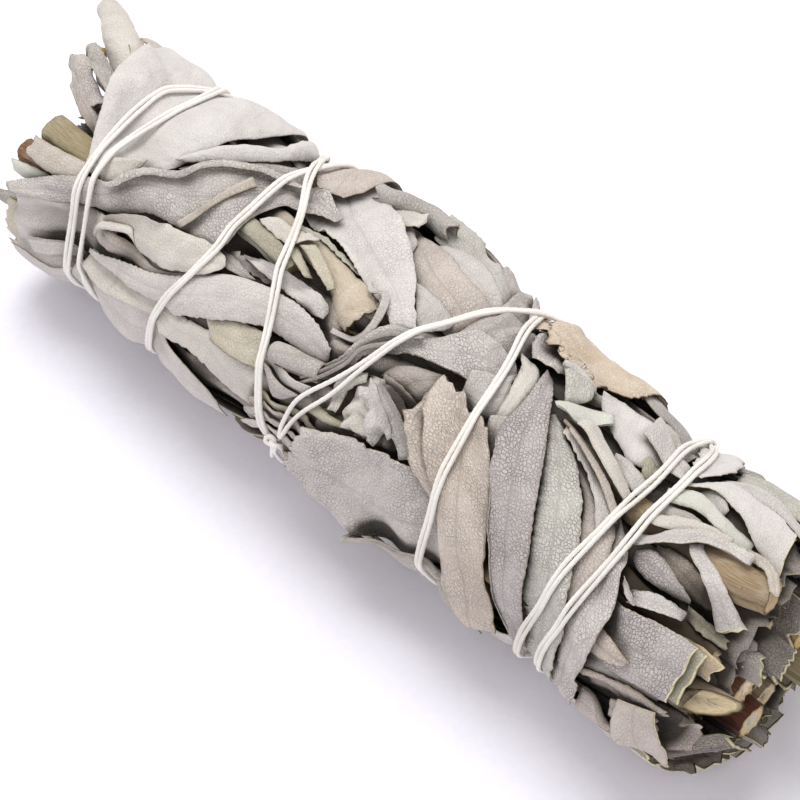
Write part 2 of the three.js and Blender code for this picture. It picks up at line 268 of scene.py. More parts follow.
def joined(name, parts):
    """One object from several (points, faces, uv, margin, face material) parts."""
    offset = 0
    columns = [[], [], [], [], []]
    for points, faces, uv, margin, material in parts:
        for column, values in zip(columns, (points, np.asarray(faces) + offset, uv, margin, material)):
            column.append(values)
        offset += len(points)
    points, faces, uv, margin, material = [np.concatenate(column) for column in columns]
    return new_object(name, points, faces, uv, margin, material)


def ring_fill(ring):
    """Faces that close a ring of points."""
    half = len(ring) // 2
    low, high = ring[:half], ring[half:][::-1]
    return np.stack([low[:-1], low[1:], high[1:], high[:-1]], -1)


def both_faces(values):
    """One number for each point of a leaf's lower face, and then of its upper face."""
    return np.tile(values.ravel(), 2)


def slab(plan, low, high, uv, margin, cut=False):
    """A closed leaf between two sets of radii on one grid of plan places, its cut end marked as rim."""
    rows, columns = low.shape
    sheet = rows * columns
    index = np.arange(sheet).reshape(rows, columns)
    a, b, c, d = index[:-1, :-1], index[1:, :-1], index[1:, 1:], index[:-1, 1:]
    under = np.stack([a, b, c, d], -1).reshape(-1, 4)
    over = np.stack([d, c, b, a], -1).reshape(-1, 4) + sheet
    rim = np.concatenate([index[:-1, 0], index[-1, :-1], index[:0:-1, -1], index[0, :0:-1]])
    after = np.roll(rim, -1)
    wall = np.stack([after, rim, rim + sheet, after + sheet], -1)
    faces = np.concatenate([under, over, wall])
    bare = np.zeros((rows - 1, columns - 1))
    bare[-1] = cut
    kind = np.concatenate([bare.ravel(), bare.ravel(), np.ones(len(wall))])
    both = [np.concatenate([x.reshape(sheet, -1)] * 2) for x in (plan, uv, margin)]
    radius = np.concatenate([low.ravel(), high.ravel()])
    return both[0], radius, faces, both[1], both[2].ravel(), kind


# A laid piece is kept as plan places and radii until the string has pressed the bunch. Its node
# is the CAD piece that it takes the place of, or None.
Piece = namedtuple("Piece", "name node colour parts edge")
laid = []


# ---------------------------------------------------------------- leaves

def rolled(distance, length, radius):
    """How a margin rolls up: inward shift and lift, in mm, by distance from the edge."""
    turn = np.clip((length - distance) / radius, 0, 4.2)
    inside = distance < length
    shift = np.where(inside, (length - distance) - radius * np.sin(turn), 0)
    lift = np.where(inside, radius * (1 - np.cos(turn)), 0)
    return shift, lift


def leaf_part(edge_a, edge_b, stiff=40, camber=0.0, fold=0.0, wrinkle=0.12, wrinkle_size=4.0,
              ruffle=0.0, roll_a=None, roll_b=None, lift_a=0.0, lift_b=0.0, lift_end=0.0,
              lift_start=0.0, start_reach=0.3, ragged=0.0, ragged_start=0.0, nibble=0.06,
              midrib=0.14, fine=0.5, thickness=LEAF_THICKNESS, sink=0.0, outer=True, blunt=False):
    """Lays one leaf, given by its two edges in plan mm, on what is there already.

    Lifts, camber, wrinkles and thickness are mm; fine is the mesh's step in mm; stiff is how many
    passes bridge the hollows under it. A roll is (reach, radius) in mm, and the shares of the
    length between which that edge rolls up, where it isn't the whole.
    """
    length = 0.5 * (curve_length(edge_a) + curve_length(edge_b))
    rows = max(8, int(length / fine))
    a, b = spline(edge_a, rows + 1), spline(edge_b, rows + 1)
    width = np.maximum(np.linalg.norm(b - a, axis=1), 0.02)
    columns = max(6, int(width.max() / fine / 1.1))
    across = 0.5 * (1 - np.cos(np.linspace(0, math.pi, columns + 1)))
    across = 0.35 * across + 0.65 * np.linspace(0, 1, columns + 1)
    side = (b - a) / width[:, None]
    share = np.linspace(0, 1, rows + 1)[:, None]
    if blunt:
        for values in (a, b, share):
            values[-2] = 0.3 * values[-2] + 0.7 * values[-1]
    along_mm = share * length
    uneven_a, uneven_b = [nibble * waves(along_mm, aside, 0.9, 3) + 0.5 * nibble * waves(along_mm, 0, 2.6, 3)
                          for aside in (0, 9)]
    distance_a = across[None, :] * width[:, None]
    distance_b = width[:, None] - distance_a
    lateral = distance_a + uneven_a * (1 - across) + uneven_b * across
    lift = np.zeros_like(distance_a)
    for roll, distance, sign in ((roll_a, distance_a, 1), (roll_b, distance_b, -1)):
        if roll:
            window = 1.0
            if len(roll) == 4:
                window = (smoothstep(roll[2] - 0.06, roll[2] + 0.06, share)
                          * (1 - smoothstep(roll[3] - 0.06, roll[3] + 0.06, share)))
            shift, raised = rolled(distance, roll[0] * window + 1e-6, roll[1])
            lateral += sign * shift
            lift += raised
    plan = a[:, None, :] + side[:, None, :] * lateral[..., None]
    heading = np.gradient(0.5 * (a + b), axis=0)
    heading /= np.linalg.norm(heading, axis=1)[:, None] + 1e-9
    tear = ragged * waves(0 * share, distance_a, 1.7, 4) * smoothstep(0.75, 1.0, share)
    tear += ragged * 0.35 * waves(0 * share, distance_a, 1.0, 4) * smoothstep(0.9, 1.0, share)
    tear -= ragged_start * waves(0 * share, distance_a, 1.5, 4) * (1 - smoothstep(0.0, 0.2, share))
    plan = plan + heading[:, None, :] * tear[..., None]
    bed = field.highest(plan)
    if outer:
        bed = np.maximum(bed, tip_support(plan[..., 0]))
    cover = bed.copy()
    for _ in range(stiff):
        cover = np.maximum(bed, blurred(cover))
    cover = np.maximum(blurred(blurred(cover)), bed - 0.15)
    middle = (2 * across - 1)[None, :]
    from_midrib = (across - 0.5)[None, :] * width[:, None]
    lift += camber * (1 - middle ** 2) * np.minimum(1, width[:, None] / 6)
    lift += fold * (np.abs(middle)) * width[:, None] * 0.5
    lift += wrinkle * (1 + waves(distance_a, along_mm * 0.45, wrinkle_size))
    lift += ruffle * (1 + waves(distance_a, along_mm * 0.18, 3.4))
    lift += lift_a * np.exp(-distance_a / EDGE_LIFT_REACH) + lift_b * np.exp(-distance_b / EDGE_LIFT_REACH)
    lift += lift_end * smoothstep(0.7, 1.0, share) + lift_start * (1 - smoothstep(0, start_reach, share))
    lift -= midrib * np.exp(-(from_midrib / MIDRIB_REACH) ** 2)
    radius = cover + LEAF_GAP + lift - sink
    rim = np.minimum(np.minimum(distance_a, distance_b), MARGIN_LIMIT)
    near_end = (share if blunt else np.minimum(share, 1 - share)) * length + 0 * distance_a
    thick = thickness * (RIM_SHARE + (1 - RIM_SHARE) * smoothstep(0, RIM_REACH, np.minimum(rim, near_end)))
    field.raise_to(plan, radius + thick)
    uv = np.stack([from_midrib, along_mm + 0 * distance_a], -1) + random.uniform(0, 900)
    uv[..., 0] -= uv[0, 0, 0] - from_midrib[0, 0]
    return list(slab(plan, radius, radius + thick, uv, rim, blunt))


def tip_support(along):
    """Radius that the outer leaves keep past the ends of the inner ones."""
    return np.interp(along, (-66, -54, -47), (12.4, 12.0, 0.0))


def leaf(name, colour, edge_a, edge_b, edge=None, node=None, **shape):
    """Lays a leaf between two edges given by places; edge names the look of its cut end."""
    part = leaf_part(plan_points(edge_a), plan_points(edge_b), blunt=edge is not None, **shape)
    laid.append(Piece(name, node, colour, [part], edge))


def cad_leaf(name, *outline, **shape):
    """A leaf that takes the place of the CAD piece with its name."""
    leaf(name, *outline, node=name, **shape)


def lance(name, colour, spine, width, node=None, cut=False, **shape):
    """Lays a lance-shaped leaf along its spine."""
    part = leaf_part(*lance_edges(spine, width, cut=cut), blunt=cut, **shape)
    laid.append(Piece(name, node, colour, [part], "cut_edge" if cut else None))


# ---------------------------------------------------------------- stems

def ring_frames(path):
    """Two directions square to a line at each of its points."""
    heading = headings(path)
    up = np.array([0.0, 0.35, 1.0]) / math.hypot(0.35, 1)
    side = np.cross(heading, up)
    side /= np.linalg.norm(side, axis=1)[:, None]
    return side, np.cross(side, heading)


STEM_SIDES = 26
END_DISCS = ((0.80, 0.02), (0.5, -0.05), (0.22, -0.1))      # share of the radius, mm stood out


def stem_part(path, diameters, nodes=(), hollow=0.0, broken=0.0, flat=(1.0, 1.0), slant=(0.0, 0.0)):
    """A ribbed stem with cut ends, along points in metres; nodes are shares of its length."""
    steps, sides = len(path), STEM_SIDES
    side, up = ring_frames(path)
    turn = np.linspace(0, 2 * math.pi, sides, endpoint=False)
    radius = 0.5 * spread(diameters, steps)
    phase = random.uniform(0, 6.28)
    share = np.linspace(0, 1, steps)[:, None]
    ribs = 1 + 0.045 * np.cos(4 * turn + phase) + 0.02 * np.cos(11 * turn + 2 * phase)
    ribs = ribs + 0.02 * waves(turn * 2, share * 22, 2.5)
    for at in nodes:
        ribs = ribs + 0.16 * np.exp(-((share - at) * steps * 0.45) ** 2)
    rings = radius[:, None] * ribs * MM
    points = (path[:, None, :] + side[:, None, :] * (flat[0] * rings * np.cos(turn))[..., None]
              + up[:, None, :] * (flat[1] * rings * np.sin(turn))[..., None])
    heading = headings(path)
    offset = (points[-1] - points[-1].mean(0))[:, 1:] @ np.array(slant)
    points[-1] += heading[-1] * (offset + 0.12 * MM * waves(turn * 3, 0 * turn, 1.5, 4))[:, None]
    if broken:
        jag = broken * MM * (np.abs(waves(turn * 2.5, turn * 0, 2.2)) + 0.4 * waves(turn * 6, turn * 0, 1.5))
        points[-1] += heading[-1] * jag[:, None]
    caps = []
    for end, sign in ((0, -1), (-1, 1)):
        centre = points[end].mean(0)
        for scale, depth in END_DISCS:
            if scale == END_DISCS[-1][0]:
                depth -= hollow
            pitted = (1 + 0.5 * random.standard_normal(sides))[:, None]
            caps.append(centre + (points[end] - centre) * scale + sign * heading[end] * depth * MM * pitted)
    verts = np.concatenate([points.reshape(-1, 3), *caps])
    body = np.arange(steps * sides).reshape(steps, sides)
    nxt = np.roll(body, -1, axis=1)
    faces = [np.stack([body[:-1], nxt[:-1], nxt[1:], body[1:]], -1).reshape(-1, 4)]
    kind = [np.zeros(len(faces[0]))]
    scales = [scale for scale, _ in END_DISCS] * 2
    margin = [np.full(steps * sides, 1.0)] + [np.full(sides, scale) for scale in scales]
    base = steps * sides
    for end, ring in ((0, body[0]), (1, body[-1])):
        for k in range(len(END_DISCS)):
            inner = base + (end * len(END_DISCS) + k) * sides + np.arange(sides)
            a, b = ring, np.roll(ring, -1)
            c, d = np.roll(inner, -1), inner
            faces.append(np.stack([a, d, c, b] if end == 0 else [a, b, c, d], -1))
            kind.append(np.ones(sides))
            ring = inner
        fill = ring_fill(ring)
        faces.append(fill if end == 1 else fill[:, ::-1])
        kind.append(np.ones(len(fill)))
    lengthwise = np.repeat(np.linspace(0, 1, steps)[:, None] * steps * 0.5, sides, 1)
    uv = np.stack([np.repeat(turn[None], steps, 0) * 2.0, lengthwise], -1).reshape(-1, 2)
    cap_uv = np.concatenate([np.stack([np.cos(turn), np.sin(turn)], -1) * 2 * scale for scale in scales])
    uv = np.concatenate([uv, cap_uv]) + random.uniform(0, 90)
    return verts, np.concatenate(faces), uv, np.concatenate(margin), np.concatenate(kind)


Stem = namedtuple("Stem", "name node colour part")
stems = []
BED_PASSES = 300          # passes of smoothing on what a side stem lies on
HELD_PASSES = 200         # the first of them, in which the stem still clears all the high places


def laid_stem(name, colour, points, diameters, node=None, raise_by=0.0, least=0.0, **shape):
    """A side stem lying on what is beneath it, or sunk in it where raise_by is below nothing."""
    length = curve_length(plan_points(points))
    steps = max(8, int(length / 0.6))
    plan = spline(plan_points(points), steps)
    diameter = spread(diameters, steps)
    bed = np.max([field.highest(plan + np.array([0, side])) for side in (-0.8, 0, 0.8)], axis=0)
    bed = np.maximum(bed, least)
    for done in range(BED_PASSES):
        middle = np.convolve(np.pad(bed, 1, mode="edge"), (0.25, 0.5, 0.25), "valid")
        bed = np.maximum(bed, middle) if done < HELD_PASSES else middle
    centre = bed + diameter / 2 + spread(np.atleast_1d(raise_by), steps)
    for side in np.linspace(-0.45, 0.45, 5):
        height = centre + diameter * 0.5 * math.sqrt(1 - (2 * side) ** 2)
        field.raise_to(plan + np.stack([np.zeros(steps), side * diameter], -1), height)
    stems.append(Stem(name, node, colour, (plan, centre, diameters, shape)))


# ---------------------------------------------------------------- the bunch's leaves, inside out

HOLLOWS = (       # where the bunch is open between its leaves: along, around, reach each way
    (-36.4, -42, 2.2, 15), (-22.6, 23, 2.2, 5), (-18.0, -10, 3.0, 4), (-13.2, 51, 2.2, 4),
    (-17.5, 89, 4.0, 6), (-50.0, 90, 3.5, 6), (0.8, 51, 1.5, 5), (9.5, 95, 2.8, 6),
    (22.3, 47, 1.2, 9), (24.8, 66, 1.2, 11), (27.6, 88, 1.2, 9), (42.3, 33.5, 3.2, 4),
    (48.8, 27, 3.0, 4), (51.8, 3, 2.2, 4), (43.6, 92, 1.8, 6), (36.6, 13, 1.2, 4),
    (21.6, -18, 1.4, 3), (10.2, -42, 1.2, 6), (44.0, -47, 4.5, 5), (0.0, -13.5, 4.0, 3),
    (-4.4, 24, 1.6, 5), (-38.5, 70, 3.5, 4),
)


HOLLOW_DEPTH = 5.5        # mm


def hollow_depth(plan):
    """How far the inner leaves fall away under the bunch's open places, in mm."""
    depth = np.zeros(plan.shape[:-1])
    for along, around, reach, turn in HOLLOWS:
        beside = turn_between(plan[..., 1] / ARC, around)
        far = ((plan[..., 0] - along) / reach) ** 2 + (beside / turn) ** 2
        depth = np.maximum(depth, HOLLOW_DEPTH * np.exp(-(far / 1.1) ** 1.5))
    return depth


INNER_NODES = (      # name, and the place on the bunch that each fills
    ("inner_leaf_tip_top", -30, -4), ("inner_leaf_tip_front", -30, 62),
    ("inner_leaf_tip_low", -30, 135), ("inner_leaf_tip_rear", -30, 270),
    ("inner_leaf_cut_top", 28, -38), ("inner_leaf_cut_front", 28, 106),
    ("inner_leaf_cut_rear", 28, 218),
)
INNER_LAYERS = (     # leaves around, width, waviness, mesh fineness
    (7, 10.5, 0.50, 1.5), (8, 10.5, 0.45, 1.3), (9, 10.5, 0.40, 1.1), (10, 11.0, 0.25, 0.9),
    (10, 11.5, 0.10, 0.7),
)


def inner_owner(along, around):
    """The CAD piece that stands for the inner leaves at a place."""
    def distance(node):
        return abs(node[1] - along) * 2 + abs(turn_between(node[2], around))
    return min(INNER_NODES, key=distance)[0]


def inner_leaves():
    """Crumpled leaves that fill the bunch between its stems and its outer leaves."""
    parts = {name: [] for name, _, _ in INNER_NODES}
    for layer, (count, width, ruffle, fine) in enumerate(INNER_LAYERS):
        for towards_cut in (False, True):
            for k in range(count):
                around = (k + 0.5 * (layer % 2) + random.uniform(-0.12, 0.12)) * 360 / count
                drift = random.uniform(-9, 9)
                if towards_cut:
                    ends = (random.uniform(-9, -2), random.uniform(50, 55.5) - 0.3 * layer)
                else:
                    ends = (random.uniform(2, 9), random.uniform(-60.5, -55))
                middle = (sum(ends) / 2, around + random.uniform(-3, 3))
                spine = [(ends[0], around - drift), middle, (ends[1], around + drift)]
                edges = lance_edges(spine, width * random.uniform(0.85, 1.1), tip=0.6, cut=towards_cut)
                part = leaf_part(*edges, stiff=10, ruffle=ruffle, wrinkle=0.1, fine=fine,
                                 ragged=0.5, midrib=0.05, nibble=0.1, outer=False)
                lowest = core_radius(part[0][..., 0]) + 0.3
                part[1] = np.maximum(part[1] - hollow_depth(part[0]), lowest)
                parts[inner_owner(*middle)].append(part)
    field.reach = np.maximum(field.reach - hollow_depth(field.plan()), 3.0)
    for name, found in parts.items():
        # Their darker inner colour is painted shade, for leaves deep in the bunch.
        laid.append(Piece(name, name, "inner", found, "cut_edge" if "cut" in name else None))


CUT_SHOWS_FROM = 50       # mm along, leaves that reach past this end at the cut


def low_and_back_leaves():
    """Leaves underneath and on the far side, which lie nearly straight along the bunch."""
    for name, colour, spine, width, shape in (
            ("back_leaf_tip_low", "pale", [(-60, 222), (-36, 216), (-8, 206)], 11,
             dict(camber=0.3, lift_a=0.3)),
            ("back_leaf_cut_high", "dull", [(10, 300), (33, 296), (54, 300)], 11,
             dict(cut=True, ragged=0.5, roll_b=(1.2, 0.5))),
            ("back_leaf_middle", "green", [(-30, 262), (0, 258), (26, 250)], 12,
             dict(camber=0.4, lift_b=0.4)),
            ("back_leaf_tip_high", "pale", [(-62, 306), (-36, 300), (-6, 292)], 12,
             dict(camber=0.3, roll_a=(1.3, 0.5, 0.3, 0.8))),
            ("back_leaf_cut_low", "pale", [(4, 232), (30, 226), (54, 228)], 11,
             dict(cut=True, ragged=0.5, lift_a=0.3)),
            ("low_leaf_front", "dull", [(-24, 140), (2, 146), (28, 142)], 11, dict(camber=0.3)),
            ("low_leaf_cut", "shaded", [(24, 128), (42, 124), (57, 116)], 10, dict(cut=True, ragged=0.6)),
            ("low_leaf_tip", "pale", [(-60, 128), (-42, 130), (-20, 126)], 10, dict(lift_a=0.3))):
        lance(name, colour, spine, width, node=name, **shape)
    spans = ((-58, -12), (-40, 4), (-22, 24), (0, 42), (16, 53))
    for row, (start, end) in enumerate(spans):
        for k, around in enumerate((128, 158, 192, 226, 252, 280)):
            turn = around + 7 * (row % 2) + random.uniform(-5, 5)
            drift = random.uniform(-12, 12)
            shows = end > CUT_SHOWS_FROM
            spine = [(start + random.uniform(-4, 4), turn - drift), ((start + end) / 2, turn),
                     (end + random.uniform(-3, 1), turn + drift)]
            shade = ("pale", "dull", "green", "pale", "pink")[(row * 2 + k) % 5]
            lance(f"wrapping_leaf_{row}_{k}", shade, spine, random.uniform(8, 11.5),
                  cut=shows, ragged=0.5 if shows else 0.1, camber=random.uniform(0.0, 0.4),
                  lift_a=random.uniform(0, 0.4), wrinkle=0.15, fine=0.6,
                  roll_b=(1.2, 0.5, 0.2, 0.7) if k % 2 else None)
    for name, along in (("resting_leaf_tip", (-42, -27, -11)), ("resting_leaf_middle", (-7, 9, 27)),
                        ("resting_leaf_cut", (31, 43, 55))):
        spine = [(x, 180) for x in along]
        lance(name, "pale", spine, 10, node=name, fine=0.7, cut=along[2] > CUT_SHOWS_FROM)


TIP_CURL = dict(camber=0.6, ruffle=0.5, roll_a=(0.7, 0.4), ragged_start=0.6, wrinkle=0.4, wrinkle_size=1.8)


def tip_end_leaves():
    """The leaves whose tips stick out at the far end, and the smooth ones round it."""
    leaf("strip_by_finger", "beige", [(-63, -66), (-59, -64), (-52, -62)],
         [(-61.8, -46), (-58, -47), (-52, -46)], camber=0.5, lift_start=1.2, start_reach=1.0)
    leaf("tip_curl_between", "inner", [(-59.2, -26), (-55, -20), (-50, -12)],
         [(-58.8, -9), (-55, -3), (-50, 4)], wrinkle=0.5, wrinkle_size=1.8, ragged_start=0.6)
    leaf("tip_curl_high", "beige", [(-58.2, -34), (-55.5, -28), (-51, -22)],
         [(-57.6, -22), (-55.2, -17), (-51, -10)], roll_b=(0.7, 0.4), **TIP_CURL)
    leaf("tip_curl_front", "dull", [(-60.8, -15), (-57, -10), (-52, -2)],
         [(-60.2, -5), (-56.5, 1), (-51, 9)], roll_b=(0.7, 0.4), **TIP_CURL)
    leaf("tip_curl_low", "pink", [(-59.8, 3), (-55, 10), (-49, 18)], [(-58.4, 12), (-54.5, 20), (-49, 28)],
         **TIP_CURL)
    leaf("tip_leaf_between", "beige", [(-57.5, 44), (-54, 42), (-48, 38)],
         [(-57.0, 54), (-54, 55), (-48, 52)], camber=0.3, ruffle=0.3, ragged_start=0.3)
    leaf("tip_leaf_green", "mint", [(-60.5, 66), (-56, 61), (-50, 55)], [(-59.5, 72), (-56, 71), (-49, 66)],
         camber=0.3)
    leaf("tip_leaf_pointed", "grey", [(-62.5, 92), (-58, 84), (-51, 80)],
         [(-62.0, 96), (-57, 96), (-50, 98)], camber=0.3, lift_start=0.4)
    leaf("tip_leaf_under_1", "straw", [(-58.4, 84), (-55, 82), (-48, 80)],
         [(-59.6, 124), (-54.5, 126), (-46, 124)], ruffle=0.3, ragged_start=0.15, lift_start=0.3)
    leaf("tip_leaf_under_2", "pale", [(-59.5, 116), (-54, 108), (-46, 104), (-36, 102)],
         [(-58, 138), (-50, 132), (-42, 124), (-32, 118)], ragged_start=0.3, camber=0.3)
    cad_leaf("tip_leaf_lavender", "pale", [(-56.4, 71), (-51, 65.5), (-46, 60), (-40, 57)],
             [(-55.8, 106), (-50, 108), (-45, 104), (-38, 99)], ragged_start=0.12, ruffle=0.45,
             wrinkle=0.25, roll_b=(1.4, 0.5))
    leaf("tip_fold_low", "pale", [(-53, 88), (-50.5, 85), (-46, 84)], [(-52, 99), (-49, 97), (-44, 95)],
         roll_a=(0.9, 0.4), ruffle=0.3)
    cad_leaf("smooth_tip_leaf", "white",
             [(-60, -80), (-58, -50), (-56.3, -28), (-54.8, -8), (-51.5, 14), (-49.6, 28), (-48.2, 42)],
             [(-35.5, -80), (-36, -36), (-36.2, -30), (-36.4, -19), (-36.9, -5), (-39, 16), (-44.2, 40)],
             stiff=90, camber=0.5, wrinkle=0.1, wrinkle_size=9, midrib=0.0, fine=0.45, lift_b=0.15)
    cad_leaf("ridge_leaf_back", "dull", [(-29, -62), (-29.6, -30), (-35, -6), (-38, 12)],
             [(-20, -58), (-23.5, -23), (-28, -5), (-32, 8)], camber=0.4)
    leaf("folded_ridge_leaf", "white", [(-34.4, -66), (-32.2, -33), (-33.9, -21), (-36.5, -4), (-38.6, 11)],
         [(-31.2, -66), (-30.1, -30), (-31.6, -17), (-34.4, -2), (-37.4, 9)], camber=0.9, wrinkle=0.1,
         midrib=0.0, thickness=0.5)
    leaf("flap_by_string", "cream", [(-46.2, 30), (-45.6, 41), (-44.4, 46)],
         [(-40.6, 20), (-41.2, 34), (-42.4, 45)], camber=0.3, lift_b=0.1)


def cavity_pieces():
    """The open place at the front where a broken stem shows."""
    laid_stem("olive_side_stem", "olive", [(-33, 8), (-24, 14), (-16.5, 17.5)], (3.0, 2.4), raise_by=-0.8)
    leaf("wavy_strip", "dull", [(-25, 28), (-21, 27), (-17, 28.5)], [(-25, 33), (-21, 32.5), (-17, 31)],
         nibble=0.3, ruffle=0.2)
    leaf("small_dark_leaf", "dull", [(-27, 31), (-23, 31), (-19, 33)], [(-27, 37), (-23, 37), (-20, 35.5)],
         wrinkle=0.2)
    laid_stem("side_stem_broken", "pale_stem",
              [(-39.9, -12), (-27.9, -7), (-21, -1.5), (-12.5, 5.5), (-9.4, 9.6), (-6.4, 14.6)],
              (2.4, 2.6, 2.8, 3.0, 3.2, 3.9), node="side_stem_broken", raise_by=(-2.0, -1.7, -1.9),
              broken=0.8, hollow=1.2)
    leaf("strip_over_stem", "green", [(-21.2, -5), (-17.3, -4.5), (-12.9, -1.5), (-8.8, 1.5)],
         [(-20.8, -2), (-16.8, -1.2), (-12.5, 1.8), (-9.2, 2.8)], camber=0.2, nibble=0.08)
    leaf("strip_low", "straw", [(-18.4, 7), (-16, 11), (-13.4, 15.6)],
         [(-19.6, 10.5), (-16.8, 15), (-14.2, 18)], camber=0.3)
    leaf("strip_mid", "straw", [(-15.8, 3.2), (-13, 7.5), (-10.4, 12.4), (-9, 15.6)],
         [(-17.9, 6.5), (-14.8, 11), (-11.4, 15.8), (-9.8, 17.6)], camber=0.35)
    leaf("torn_flap", "cream", [(-24.1, 9), (-22.6, 3), (-20.6, 0.5), (-18.2, -0.4), (-15.9, 1.2)],
         [(-23.4, 10.5), (-20.8, 11.5), (-18.8, 9.5), (-17.6, 5), (-16.2, 3)], camber=0.3, nibble=0.12)
    leaf("cavity_leaf", "pale", [(-23, 25.5), (-19, 21.5), (-14, 18.8), (-10, 19), (-8.3, 21.5)],
         [(-22.5, 27.5), (-19, 28.3), (-14, 29), (-10, 29.5), (-8, 28.5)], camber=0.35, wrinkle=0.35,
         wrinkle_size=2.2, roll_a=(0.8, 0.4))


